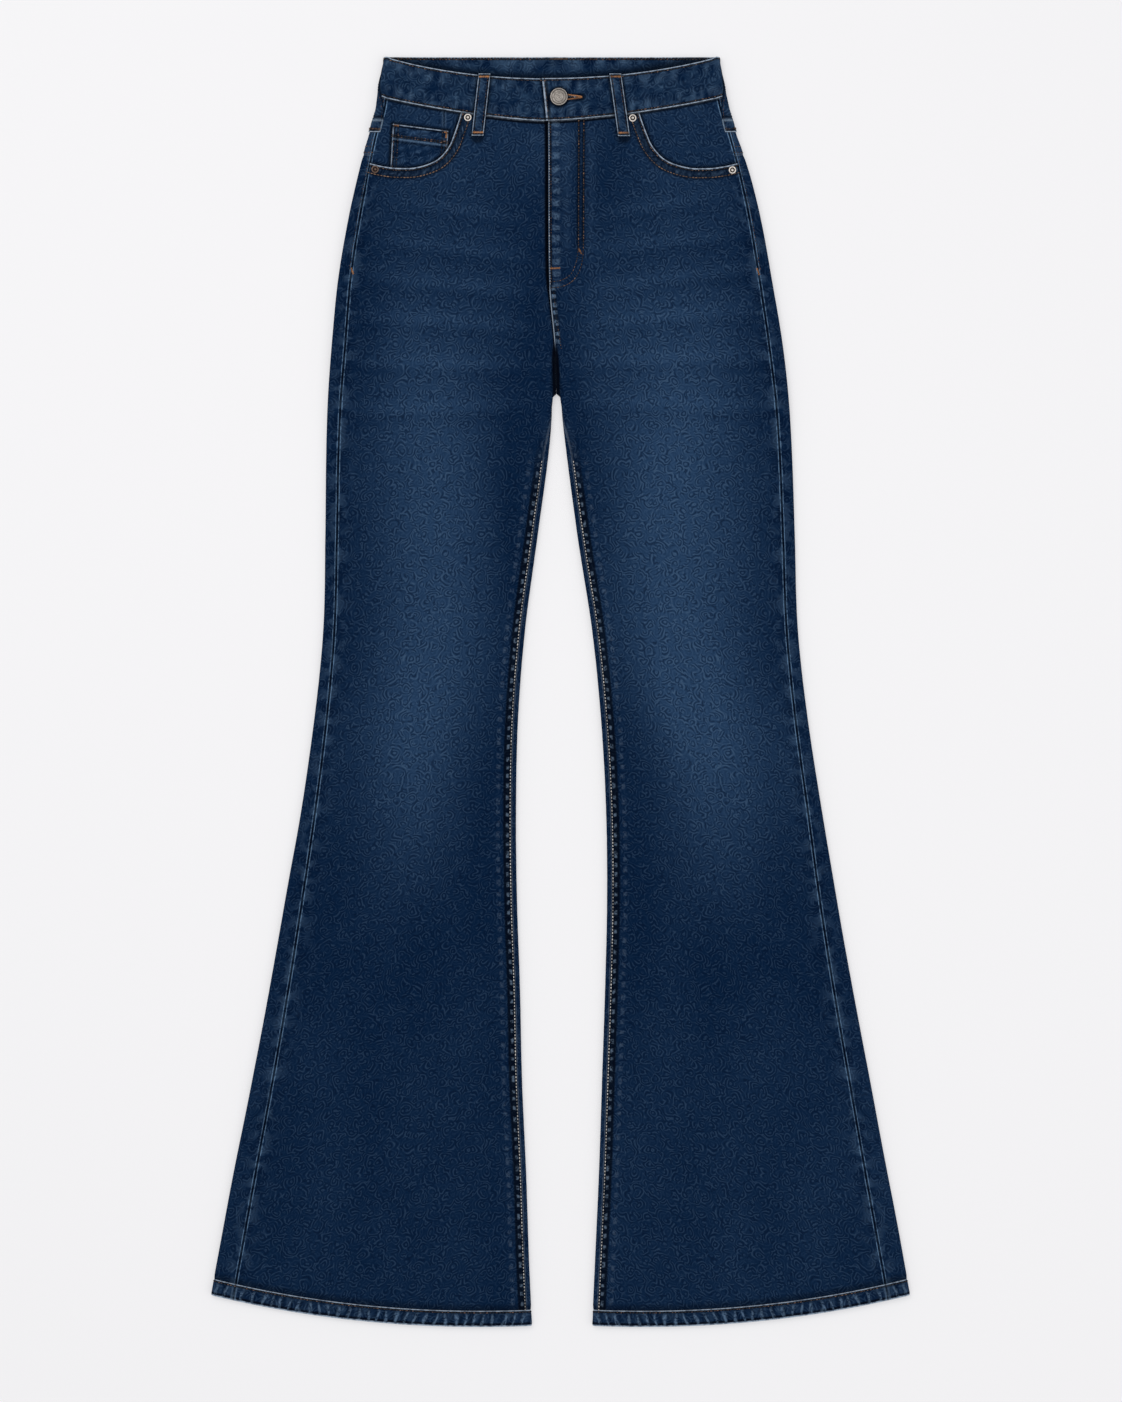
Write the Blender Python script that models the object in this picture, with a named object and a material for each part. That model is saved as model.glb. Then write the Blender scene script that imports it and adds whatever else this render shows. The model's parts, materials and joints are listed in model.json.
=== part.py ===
"""Flared jeans laid flat, front up, built from the cut pieces of a real pair.

Metres, +Z up. The waist is at +Y and the hems at -Y. The origin is the bottom centre of the bounding box,
on the surface that the jeans lie on. Left and right are the wearer's: the wearer's right is at -X.

One function, cloth_face, gives the outer face of the garment all the way round: under the back, round the
fold at each edge and over the front. Every piece is a wall made from that face. A panel is the face moved in
by its thickness, and what lies on a panel is the same face moved out.
"""

import math
from bisect import bisect_right
from collections import namedtuple

import bmesh
import bpy
from mathutils import Vector

MM = 0.001

# Driving dimensions. down runs from the back of the waist to the hems.
WAISTBAND_HEIGHT = 0.0360
FRONT_WAIST_DIP = 0.0194
FRONT_SEAM_DIP = 0.0216
CROTCH_DOWN = 0.3060
SLIT_TOP_DOWN = 0.2590
SLIT_HALF_WIDTH = 0.00315
SLIT_SLOPE = 0.0035
SLIT_FADE = 0.0300
HEM_HEIGHT = 0.0145
HEM_OUTER_DOWN = 1.1142
HEM_SWEEP = 0.0288
HEM_LOWEST_ACROSS = 0.84
HEM_FADE_LENGTH = 0.2500
INSEAM_IN = 0.0062
INSEAM_PAST_FOLD = 0.0005
INSEAM_ON_FRONT_DOWN = 0.3600
YOKE_SIDE_DOWN = 0.0880
YOKE_CENTRE_DROP = 0.0400
BACK_LOOP_TOP = -0.0005
ORIGIN_DOWN = (BACK_LOOP_TOP + HEM_OUTER_DOWN + HEM_SWEEP) / 2

CLOTH = 0.0012
BAND_THICKNESS = 0.0018
HEM_THICKNESS = 0.0024
ZIP_THICKNESS = 0.0010
SEAM_GAP = 0.0003
LAYER_GAP = 0.0008
STEP_UP = CLOTH + SEAM_GAP
CLEAR_OF_EDGE = 0.0060

FOLD_RADIUS = 0.0030
FOLD_FADE = 0.0300
SEAT_LIFT = 0.0017
SEAT_END_DOWN = 0.3000
SEAT_FADE = 0.0700
BAND_LEVEL_FADE = (0.0550, 0.1000)
HEM_LEVEL_FADE = (1.0500, 1.0980)

BUTTON_DIAMETER = 0.0158
BUTTON_DOWN = 0.0365
BUTTON_X = -0.0015
BUTTONHOLE_EYE = 0.0036
BUTTONHOLE_SLIT = 0.0016
BUTTONHOLE_LENGTH = 0.0185
SHANK_RADIUS = 0.0028
SHANK_ABOVE_LAP = 0.0006
RIVET_DIAMETER = 0.0068
BACK_POCKET_WIDTH = 0.1400
BACK_POCKET_TAPER = 0.0085
BACK_POCKET_SIDE = 0.1280
BACK_POCKET_POINT = 0.0240
BACK_POCKET_OUT = 0.0900
BACK_POCKET_DOWN = 0.1400
BACK_POCKET_TILT = 0.0050
LOOP_WIDTH = 0.0105
LOOP_THICKNESS = 0.0010
FLY_WIDTH = 0.0320
FLY_END_DOWN = 0.2060
FLY_FADE = 0.0300
FLY_END_SLOPE = 0.0100
FLY_TOP_GAP = 0.0009
COIN_TOP_DOWN = 0.0605
COIN_TOP_SLOPE = 0.0063
COIN_END_DOWN = 0.1120
COIN_X = (-0.1508, -0.1010)
COIN_LEAN = 0.0030
SIDE_LOOP_TOP_ALONG = -0.0070
SIDE_LOOP_LOW_ALONG = 0.0062
SIDE_LOOP_LOW_DOWN = 0.0680
LOOP_ARCH = 0.0006
LOOP_CLEARANCE = 0.0004
LOOP_OVER_BAND_DOWN = 0.0580

RIGHT, LEFT = -1, 1
NAMES = {RIGHT: "right", LEFT: "left"}

Colour = namedtuple("Colour", "rgb roughness metallic")
DENIM = Colour((0.011, 0.026, 0.062), 0.85, 0.0)
DENIM_WORN = Colour((0.018, 0.040, 0.085), 0.85, 0.0)
TAPE = Colour((0.008, 0.012, 0.025), 0.8, 0.0)
PEWTER = Colour((0.17, 0.14, 0.12), 0.38, 1.0)

# The side folds, in millimetres across from the middle, row by row from the waist down.
# seam_in: the side seam, along the cloth of the front from the side fold.
Section = namedtuple("Section", "down right_outer left_outer seam_in")
SECTIONS = (
    Section(0.0, -158.9, 143.0, 7.2),
    Section(25.2, -162.5, 146.2, 8.0),
    Section(47.7, -165.2, 150.7, 8.4),
    Section(70.2, -172.7, 158.5, 8.4),
    Section(106.2, -182.3, 170.5, 10.8),
    Section(146.7, -191.3, 180.4, 12.0),
    Section(200.7, -200.3, 190.3, 13.0),
    Section(254.7, -205.7, 199.3, 14.0),
    Section(306.0, -209.4, 205.2, 13.6),
    Section(353.7, -211.1, 208.3, 13.0),
    Section(434.7, -212.0, 211.0, 12.4),
    Section(515.7, -213.8, 213.7, 12.0),
    Section(596.7, -221.9, 222.7, 13.0),
    Section(677.7, -233.6, 235.3, 14.6),
    Section(758.7, -248.0, 248.8, 17.2),
    Section(839.7, -262.4, 263.2, 19.0),
    Section(920.7, -277.7, 278.5, 20.4),
    Section(1001.7, -293.9, 293.8, 21.6),
    Section(1082.7, -309.2, 309.1, 22.4),
    Section(1143.0, -320.0, 320.0, 22.4),
)

# Inner fold of each leg below the crotch, in millimetres.
Leg = namedtuple("Leg", "down right_inner left_inner")
LEGS = (
    Leg(306.0, -6.8, -0.5),
    Leg(353.7, -10.4, 4.9),
    Leg(434.7, -21.2, 15.7),
    Leg(515.7, -32.0, 28.3),
    Leg(596.7, -38.3, 36.4),
    Leg(677.7, -40.1, 40.9),
    Leg(758.7, -39.2, 41.8),
    Leg(839.7, -36.5, 40.0),
    Leg(920.7, -34.7, 37.3),
    Leg(1001.7, -31.1, 34.6),
    Leg(1082.7, -28.4, 31.0),
    Leg(1143.0, -25.7, 28.3),
)

# Centre front and centre back above the crotch, in millimetres.
Centre = namedtuple("Centre", "down front back")
CENTRES = (
    Centre(0.0, -13.6, -8.2),
    Centre(57.0, -11.4, -7.4),
    Centre(205.0, -10.2, -5.4),
    Centre(259.0, -5.4, -4.4),
    Centre(306.0, -3.65, -3.65),
)

# The front pocket mouth, from the waist seam to the side seam: across, from the side fold (0) to the centre
# front (1), and down, in millimetres.
Mouth = namedtuple("Mouth", "across down")
POCKET_MOUTH = (
    Mouth(0.495, 50.5),
    Mouth(0.478, 68.0),
    Mouth(0.455, 81.5),
    Mouth(0.400, 93.2),
    Mouth(0.300, 99.6),
    Mouth(0.200, 100.2),
    Mouth(0.140, 99.2),
    Mouth(0.090, 97.8),
    Mouth(0.045, 96.0),
)

FACING_END_SHARE = 0.620
FACING_END_DOWN = 0.1220
FACING_END_SLOPE = 0.0300
MOUTH_FADE = 0.0220
COIN_FADE_SHARES = (0.45, 0.60)

# Shares of the way across at which the pieces that meet along the waist seam all have a point, and those of
# the end that is lapped over.
SIDE_SHARES = (0.09, 0.14, 0.20, 0.30, 0.40, 0.495, 0.58)
WAIST_SHARES = (0.58, 0.68, 0.79, 0.90, 0.945, 0.970, 1.0)
LAP_SHARES = (1.030, 1.055, 1.10, 1.18)
LAP_FADE = (0.0300, 0.0700)

# How far an edge is rolled in, at shares of the way from the upper to the lower edge.
BAND_ROLLS = ((0.0, 0.0002), (0.12, 0.0), (0.88, 0.0), (1.0, 0.0002))
HEM_ROLLS = ((0.0, 0.0003), (0.12, 0.0), (0.5, 0.0), (0.88, 0.0), (1.0, 0.0003))

Rivet = namedtuple("Rivet", "side x down")
RIVETS = (
    Rivet(RIGHT, -0.0834, 0.0550),
    Rivet(RIGHT, -0.1672, 0.1017),
    Rivet(LEFT, 0.0648, 0.0554),
    Rivet(LEFT, 0.1548, 0.1022),
)

# The front and back belt loops, from their upper to their lower end.
Loop = namedtuple("Loop", "name side top_x top_down low_x low_down on_front")
LOOPS = (
    Loop("loop_front_right", RIGHT, -0.0684, 0.0155, -0.0747, 0.0711, True),
    Loop("loop_front_left", LEFT, 0.0491, 0.0155, 0.0570, 0.0715, True),
    Loop("loop_back", LEFT, -0.0078, BACK_LOOP_TOP, -0.0070, 0.0560, False),
)

# Half sections of the button's head over the lap and of a rivet. out is from the rim's radius, or from the
# axis where from_rim is false, and up is from the face that it stands on.
Turn = namedtuple("Turn", "from_rim out up")
BUTTON_HEAD = (
    Turn(True, -0.0010, 0.0002),
    Turn(True, 0.0, 0.0009),
    Turn(True, 0.0, 0.0017),
    Turn(True, -0.0006, 0.0023),
    Turn(True, -0.0019, 0.0023),
    Turn(True, -0.0026, 0.0019),
    Turn(False, 0.0030, 0.0026),
    Turn(False, 0.0, 0.0028),
)
RIVET_HEAD = (
    Turn(False, 0.0, 0.0),
    Turn(True, -0.0003, 0.0),
    Turn(True, 0.0, 0.0004),
    Turn(True, -0.0005, 0.0009),
    Turn(False, 0.0014, 0.0012),
    Turn(False, 0.0, 0.0012),
)

# The strips behind the fly. near and far are from the centre front.
Strip = namedtuple("Strip", "name near far lift thickness colour")
STRIPS = (
    Strip("fly_shield", 0.0003, FLY_WIDTH + 0.002, 0.0, CLOTH, DENIM),
    Strip("zip", 0.0010, FLY_WIDTH - 0.004, ZIP_THICKNESS + SEAM_GAP, ZIP_THICKNESS, TAPE),
)

# Rows of the panels below the waist shaping, in millimetres down.
PANEL_ROWS = (
    150, 185, 220, 247, 262, 276, 290, 305.8, 309, 317, 330, 345, 362, 385, 430,
    480, 530, 580, 630, 680, 735, 790, 850, 910, 970, 1030, 1075,
)
SHAPED_ROWS = 4
STEPS_BESIDE_SEAM = (0.0, 0.0070, 0.0140, 0.0220)
STEPS_BESIDE_END = (0.0150, 0.0095, 0.0064, 0.0048, 0.0032, 0.0016, 0.0)
FLAT_BESIDE_CENTRE = 0.0062
FACE_STEP = 0.0004

QUARTER = math.pi * FOLD_RADIUS / 2
UNDERLAP_TOP = SEAT_LIFT + 2 * BAND_THICKNESS + LAYER_GAP


def smooth_column(rows, column):
    """A function that runs a smooth curve through one column of a table, in metres."""
    places = [row[0] * MM for row in rows]
    values = [getattr(row, column) * MM for row in rows]
    last = len(rows) - 1

    def slope(i):
        low, high = max(i - 1, 0), min(i + 1, last)
        return (values[high] - values[low]) / (places[high] - places[low])

    slopes = [slope(i) for i in range(last + 1)]

    def value(down):
        if down <= places[0]:
            return values[0] + slopes[0] * (down - places[0])
        if down >= places[last]:
            return values[last] + slopes[last] * (down - places[last])
        i = bisect_right(places, down) - 1
        span = places[i + 1] - places[i]
        t = (down - places[i]) / span
        return (
            values[i] * (1 + 2 * t) * (1 - t) ** 2
            + slopes[i] * span * t * (1 - t) ** 2
            + values[i + 1] * t * t * (3 - 2 * t)
            + slopes[i + 1] * span * t * t * (t - 1)
        )

    return value


OUTER = {
    RIGHT: smooth_column(SECTIONS, "right_outer"),
    LEFT: smooth_column(SECTIONS, "left_outer"),
}
INNER = {
    RIGHT: smooth_column(LEGS, "right_inner"),
    LEFT: smooth_column(LEGS, "left_inner"),
}
SEAM_IN = smooth_column(SECTIONS, "seam_in")
CENTRE_FRONT = smooth_column(CENTRES, "front")
CENTRE_BACK = smooth_column(CENTRES, "back")


def ease(value, start, end):
    """0 before start, 1 after end, with a soft change between."""
    t = min(max((value - start) / (end - start), 0.0), 1.0)
    return t * t * (3 - 2 * t)


def is_leg(down):
    """Whether a row lies below the crotch."""
    return down > CROTCH_DOWN


def width(side, down, on_front):
    """From the side fold to the inner fold of the leg, or above the crotch to the centre line."""
    if is_leg(down):
        return abs(OUTER[side](down) - INNER[side](down))
    centre = CENTRE_FRONT(down) if on_front else CENTRE_BACK(down)
    return abs(OUTER[side](down) - centre)


def front_length(side, down):
    """Along the cloth of the front, from one fold of a leg to the other, or to the centre front."""
    if is_leg(down):
        return 2 * QUARTER + width(side, down, True) - 2 * FOLD_RADIUS
    return QUARTER + width(side, down, True) - FOLD_RADIUS


def seat_height(down):
    """The back's outer face: raised off the surface where it lies on its pockets and loops."""
    return SEAT_LIFT * (1 - ease(down, SEAT_END_DOWN, SEAT_END_DOWN + SEAT_FADE))


def front_level(down):
    """The front's outer face over the back's, away from the folds."""
    near_band = 2 * BAND_THICKNESS + LAYER_GAP
    level = 2 * CLOTH + LAYER_GAP
    near_hem = 2 * HEM_THICKNESS + LAYER_GAP
    level += (near_band - level) * (1 - ease(down, *BAND_LEVEL_FADE))
    return level + (near_hem - level) * ease(down, *HEM_LEVEL_FADE)


def near_fold(distance):
    """1 beside a fold, fading to 0 over the cloth next to it."""
    return 1 - ease(distance, FOLD_RADIUS, FOLD_RADIUS + FOLD_FADE)


def front_height(side, down, inward):
    """The front's outer face at a distance inside the side fold."""
    level = front_level(down)
    rise = 2 * FOLD_RADIUS - level
    across = width(side, down, True)
    height = level + rise * near_fold(inward)
    if is_leg(down):
        return seat_height(down) + height + rise * near_fold(across - inward)
    from_centre = abs(across - inward)
    half_slit = SLIT_HALF_WIDTH * ease(down, SLIT_TOP_DOWN, CROTCH_DOWN)
    opening = ease(down, SLIT_TOP_DOWN - SLIT_FADE, CROTCH_DOWN)
    height += opening * rise * near_fold(from_centre - half_slit)
    floor = 2 * CLOTH + SEAM_GAP
    valley = 1 - ease(from_centre, half_slit, half_slit + SLIT_SLOPE)
    valley *= ease(down, SLIT_TOP_DOWN, SLIT_TOP_DOWN + SLIT_FADE)
    return seat_height(down) + height + (floor - height) * valley


def cloth_face(side, down, along):
    """The garment's outer face.

    along is measured on the cloth from the side fold: positive over the front, negative under the back. Past
    the inner fold of a leg it runs on round that fold.
    """
    if is_leg(down) and abs(along) > front_length(side, down):
        along -= math.copysign(2 * front_length(side, down), along)
    radius = FOLD_RADIUS
    base = seat_height(down)
    edge = OUTER[side](down)
    reach = abs(along)
    front = along >= 0
    up = 1 if front else -1
    across = width(side, down, front)
    if reach < QUARTER:
        turn = reach / radius
        inward = radius * (1 - math.cos(turn))
        height = base + radius + up * radius * math.sin(turn)
    elif is_leg(down) and reach > QUARTER + across - 2 * radius:
        turn = (reach - QUARTER - across + 2 * radius) / radius
        inward = across - radius + radius * math.sin(turn)
        height = base + radius + up * radius * math.cos(turn)
    else:
        inward = radius + reach - QUARTER
        height = front_height(side, down, inward) if front else base
    return Vector((edge - side * inward, ORIGIN_DOWN - down, height))


def face_out(side, down, along):
    """The outward direction of the cloth's face."""
    low, high = down - FACE_STEP, down + FACE_STEP
    if is_leg(low) != is_leg(high):
        low, high = (down, high) if is_leg(down) else (low, down)
    before = cloth_face(side, down, along - FACE_STEP)
    after = cloth_face(side, down, along + FACE_STEP)
    down_way = cloth_face(side, high, along) - cloth_face(side, low, along)
    return (side * (after - before).cross(down_way)).normalized()


def lifted(side, down, along, lift=0.0):
    """(point, outward direction) of the face, moved out by lift."""
    out = face_out(side, down, along)
    return cloth_face(side, down, along) + out * lift, out


def along_at(side, down, across_share):
    """Along the cloth of the front, at a share of the way from the side fold to the centre or inner fold."""
    return across_share * width(side, down, True) - FOLD_RADIUS + QUARTER


def along_to(side, down, x):
    """Along the cloth from the side fold to a place across the garment, seen flat."""
    return (OUTER[side](down) - x) * side - FOLD_RADIUS + QUARTER


def inward_of(side, down, along):
    """Distance inside the side fold, seen flat."""
    return abs(cloth_face(side, down, along).x - OUTER[side](down))


def inseam_along(side, down):
    """Where the inseam lies: round the inner fold at the crotch, on the front further down."""
    on_front = ease(down, CROTCH_DOWN, INSEAM_ON_FRONT_DOWN)
    from_fold = INSEAM_IN * on_front - INSEAM_PAST_FOLD * (1 - on_front)
    return front_length(side, down) - from_fold


def hem_bow(across_share):
    """How far the hem swings down across the leg."""
    from_lowest = (HEM_LOWEST_ACROSS - across_share) / HEM_LOWEST_ACROSS
    return HEM_SWEEP * (1 - from_lowest**2)


def bowed(side, down, along):
    """down, with the swing of the hem faded in over the lower leg."""
    share = min(inward_of(side, down, along) / width(side, down, along >= 0), 1.0)
    hem_line = HEM_OUTER_DOWN - HEM_HEIGHT
    return down + hem_bow(share) * ease(down, hem_line - HEM_FADE_LENGTH, hem_line)


def bowed_row(side, down, stations):
    """(down, along) of each station of a row, once the hem's swing has moved it down the leg."""
    row = []
    for column, along in enumerate(stations(side, down)):
        low = bowed(side, down, along)
        row.append((low, stations(side, low)[column]))
    return row


def waist_seam(across_share, on_front):
    """down of the waistband's lower edge."""
    if not on_front:
        return WAISTBAND_HEIGHT
    dip = 1 - (1 - min(across_share, 1.0)) ** 1.5
    return WAISTBAND_HEIGHT + FRONT_SEAM_DIP * dip


def waist_top(across_share, on_front):
    """down of the waistband's upper edge."""
    if not on_front:
        return 0.0
    return FRONT_WAIST_DIP * (1 - (1 - min(across_share, 1.0)) ** 2)


def mouth_rise(side, down, inward):
    """How far a front panel is lifted by the pocket facing under it, and by the coin pocket."""
    reach = width(side, down, True)
    facing_side = FACING_END_SHARE * reach + CLEAR_OF_EDGE
    facing_low = FACING_END_DOWN + CLEAR_OF_EDGE
    lift = 1 - ease(inward, facing_side, facing_side + MOUTH_FADE)
    lift *= 1 - ease(down, facing_low, facing_low + MOUTH_FADE)
    if side == RIGHT:
        coin_low = COIN_END_DOWN + CLEAR_OF_EDGE
        coin = 1 - ease(down, coin_low, coin_low + MOUTH_FADE)
        lift += coin * (1 - ease(inward / reach, *COIN_FADE_SHARES))
    return STEP_UP * lift


def fly_rise(side, down, inward):
    """How far the wearer's left front is lifted by the zip and the shield under the fly."""
    if side == RIGHT:
        return 0.0
    from_centre = width(side, down, True) - inward
    fly_side = FLY_WIDTH + CLEAR_OF_EDGE
    fly_low = FLY_END_DOWN + 3 * CLEAR_OF_EDGE
    lift = 1 - ease(from_centre, fly_side, fly_side + FLY_FADE)
    lift *= 1 - ease(down, fly_low, fly_low + FLY_FADE)
    return (STEP_UP + ZIP_THICKNESS + SEAM_GAP) * lift


def front_rise(side, down, along):
    """How far a front panel is lifted by all that lies under it."""
    inward = inward_of(side, down, along)
    return mouth_rise(side, down, inward) + fly_rise(side, down, inward)


def add_object(name, mesh_data, colour, smooth=False):
    """A closed bmesh becomes the named object, with its own material."""
    bmesh.ops.recalc_face_normals(mesh_data, faces=mesh_data.faces)
    if mesh_data.calc_volume(signed=True) < 0:
        bmesh.ops.reverse_faces(mesh_data, faces=mesh_data.faces)
    mesh = bpy.data.meshes.new(name)
    mesh_data.to_mesh(mesh)
    mesh_data.free()
    if smooth:
        mesh.shade_smooth()
        mesh.set_sharp_from_angle(angle=math.radians(35))
    material = bpy.data.materials.new(name)
    material.use_nodes = True
    shader = material.node_tree.nodes["Principled BSDF"]
    shader.inputs["Base Color"].default_value = (*colour.rgb, 1.0)
    shader.inputs["Roughness"].default_value = colour.roughness
    shader.inputs["Metallic"].default_value = colour.metallic
    mesh.materials.append(material)
    placed = bpy.data.objects.new(name, mesh)
    bpy.context.scene.collection.objects.link(placed)
    return placed


def add_wall(name, grid, thickness, colour=DENIM, ring=False):
    """A wall of cloth: grid holds (outer point, outward direction) row by row, and the wall goes inwards."""
    mesh_data = bmesh.new()
    outer = [[mesh_data.verts.new(point) for point, out in row] for row in grid]
    inner = [
        [mesh_data.verts.new(point - out * thickness) for point, out in row]
        for row in grid
    ]
    rows, columns = len(grid), len(grid[0])
    around = range(columns if ring else columns - 1)
    for row in range(rows - 1):
        for column in around:
            after = (column + 1) % columns
            for wall in (outer, inner):
                mesh_data.faces.new(
                    (
                        wall[row][column],
                        wall[row][after],
                        wall[row + 1][after],
                        wall[row + 1][column],
                    )
                )
    for row in (0, rows - 1):
        for column in around:
            after = (column + 1) % columns
            mesh_data.faces.new(
                (
                    outer[row][column],
                    outer[row][after],
                    inner[row][after],
                    inner[row][column],
                )
            )
    if not ring:
        for column in (0, columns - 1):
            for row in range(rows - 1):
                mesh_data.faces.new(
                    (
                        outer[row][column],
                        outer[row + 1][column],
                        inner[row + 1][column],
                        inner[row][column],
                    )
                )
    return add_object(name, mesh_data, colour, smooth=True)


def spread(start, end, steps):
    """Evenly spaced values from start to end, both included."""
    return [start + (end - start) * i / steps for i in range(steps + 1)]


def straight_rows():
    """down of the rows that front and back share, with the seam to the hem as the last."""
    return [row * MM for row in PANEL_ROWS] + [HEM_OUTER_DOWN - HEM_HEIGHT - SEAM_GAP]


def front_stations(side, down):
    """Along the cloth of a front panel, from the side seam to the centre front or the inseam."""
    start = SEAM_IN(down) + SEAM_GAP / 2
    end = inseam_along(side, down) if is_leg(down) else front_length(side, down)
    end -= SEAM_GAP / 2
    beside_seam = [start + step for step in STEPS_BESIDE_SEAM]
    beside_end = [end - step for step in STEPS_BESIDE_END]
    between = spread(beside_seam[-1], beside_end[0], 6)[1:-1]
    return beside_seam + between + beside_end


def mouth_top():
    """The front panel's top edge, as (across share, down), from the side seam to the centre front."""
    edge = [(row.across, row.down * MM) for row in reversed(POCKET_MOUTH)]
    edge += [(share, waist_seam(share, True) + SEAM_GAP) for share in WAIST_SHARES]
    return edge


def front_panel(side):
    """A front leg panel with its pocket mouth cut away at the top."""
    first = PANEL_ROWS[0] * MM
    shares = [
        inward_of(side, first, along) / width(side, first, True)
        for along in front_stations(side, first)
    ]
    grid = []
    for step in range(SHAPED_ROWS):
        blend = step / SHAPED_ROWS
        row = []
        for (top_share, top_down), share in zip(mouth_top(), shares):
            down = top_down + (first - top_down) * blend
            along = along_at(side, down, top_share + (share - top_share) * blend)
            if share == shares[0]:
                along = SEAM_IN(down) + SEAM_GAP / 2
            if share == shares[-1]:
                along = front_length(side, down) - SEAM_GAP / 2
            row.append((down, along))
        grid.append(row)
    grid += [bowed_row(side, down, front_stations) for down in straight_rows()]
    grid = [
        [lifted(side, down, along, front_rise(side, down, along)) for down, along in row]
        for row in grid
    ]
    add_wall(f"front_{NAMES[side]}", grid, CLOTH)


def back_stations(side, down):
    """Along the cloth of a back panel, from the side seam under the leg to the centre back or the inseam."""
    seam = SEAM_IN(down) - SEAM_GAP / 2
    if is_leg(down):
        flat_end = QUARTER - front_length(side, down)
        end = inseam_along(side, down) - 2 * front_length(side, down) + SEAM_GAP / 2
    else:
        end = FOLD_RADIUS - QUARTER - width(side, down, False) + SEAM_GAP / 2
        flat_end = end + FLAT_BESIDE_CENTRE
    full = 2 * QUARTER + INSEAM_IN
    turn = spread(0.0, 2 * QUARTER, 6)[1:] + [full - SEAM_GAP]
    stations = [seam, (seam + QUARTER) / 2] + spread(QUARTER, -QUARTER, 6)
    stations += spread(-QUARTER, flat_end, 4)[1:]
    share = (flat_end - end) / turn[-1]
    return stations + [flat_end - step * share for step in turn]


def yoke_seam(side, along):
    """down of the yoke's lower edge: level at the side, dropping to the centre back."""
    share = (-along - QUARTER) / width(side, YOKE_SIDE_DOWN, False)
    return YOKE_SIDE_DOWN + YOKE_CENTRE_DROP * max(share, 0.0)


def shaped_row(side, top_of, low_of, blend):
    """A row of the back at a share of the way between two edges, each given as down by station."""
    row = []
    for column, guess in enumerate(back_stations(side, YOKE_SIDE_DOWN)):
        high, low = top_of(side, guess), low_of(side, guess)
        down = high + (low - high) * blend
        row.append(lifted(side, down, back_stations(side, down)[column]))
    return row


def under_yoke(side, along):
    """down of the back panel's top edge."""
    return yoke_seam(side, along) + SEAM_GAP


def first_row(side, along):
    """down of the first of the straight rows."""
    return PANEL_ROWS[0] * MM


def under_band(side, along):
    """down of the yoke's upper edge, along the waistband."""
    share = (along - QUARTER + FOLD_RADIUS) / width(side, YOKE_SIDE_DOWN, True)
    return waist_seam(max(share, 0.0), along > 0) + SEAM_GAP


def back_panel(side):
    """A back leg panel, round both folds of its leg to the seams on the front."""
    blends = spread(0.0, 1.0, 3)[:-1]
    grid = [shaped_row(side, under_yoke, first_row, blend) for blend in blends]
    for down in straight_rows():
        points = bowed_row(side, down, back_stations)
        grid.append([lifted(side, low, along) for low, along in points])
    add_wall(f"back_{NAMES[side]}", grid, CLOTH)


def yoke(side):
    """A back yoke, round the side fold to the side seam."""
    blends = spread(0.0, 1.0, 5)
    grid = [shaped_row(side, under_band, yoke_seam, blend) for blend in blends]
    add_wall(f"yoke_{NAMES[side]}", grid, CLOTH)


def pocket_facing(side):
    """The hip piece that shows inside the pocket mouth and runs under the front panel."""
    grid = []
    shares = (0.0,) + SIDE_SHARES + (FACING_END_SHARE,)
    for blend in spread(0.0, 1.0, 7):
        row = []
        for share in shares:
            high = waist_seam(max(share, POCKET_MOUTH[-1].across), True) + SEAM_GAP
            low = FACING_END_DOWN - FACING_END_SLOPE * share
            down = high + (low - high) * blend
            along = along_at(side, down, share)
            if share == 0.0:
                along = SEAM_IN(down) + SEAM_GAP / 2
            row.append(lifted(side, down, along))
        grid.append(row)
    add_wall(f"pocket_facing_{NAMES[side]}", grid, CLOTH)


def coin_pocket():
    """The small pocket on the wearer's right facing; its foot is under the front panel."""
    grid = []
    for blend in spread(0.0, 1.0, 4):
        row = []
        for across in spread(0.0, 1.0, 5):
            top = COIN_TOP_DOWN + COIN_TOP_SLOPE * across
            down = top + (COIN_END_DOWN - top) * blend
            x = COIN_X[0] + (COIN_X[1] - COIN_X[0]) * across - COIN_LEAN * blend
            row.append(lifted(RIGHT, down, along_to(RIGHT, down, x), STEP_UP))
        grid.append(row)
    add_wall("coin_pocket", grid, CLOTH, DENIM_WORN)


def back_pocket(side):
    """A five-sided patch under the seat, its outer face on the surface."""
    grid = []
    for v in spread(0.0, 1.0, 5):
        half = BACK_POCKET_WIDTH / 2 - BACK_POCKET_TAPER * v
        row = []
        for u in spread(-1.0, 1.0, 6):
            point = BACK_POCKET_POINT * (1 - abs(u))
            down = BACK_POCKET_DOWN + v * (BACK_POCKET_SIDE + point) - BACK_POCKET_TILT * u
            x = CENTRE_BACK(down) + side * (BACK_POCKET_OUT + u * half)
            row.append(lifted(side, down, -along_to(side, down, x), SEAT_LIFT))
        grid.append(row)
    add_wall(f"back_pocket_{NAMES[side]}", grid, CLOTH)


def band_rise(side, share, reach):
    """How far the lapping end of the waistband is lifted over the end beneath it."""
    if side == RIGHT:
        return 0.0
    return (BAND_THICKNESS + SEAM_GAP) * (1 - ease((1 - share) * reach, *LAP_FADE))


def band_stations(side):
    """(share across the front, along the cloth) from the centre back to the centre front."""
    middle = WAISTBAND_HEIGHT / 2
    flat = width(side, middle, False) - FOLD_RADIUS + QUARTER
    round_way = spread(-flat, -QUARTER, 4) + spread(-QUARTER, QUARTER, 6)[1:]
    shares = SIDE_SHARES[:-1] + WAIST_SHARES + (LAP_SHARES if side == RIGHT else ())
    return [(None, along) for along in round_way] + [(share, 0.0) for share in shares]


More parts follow.
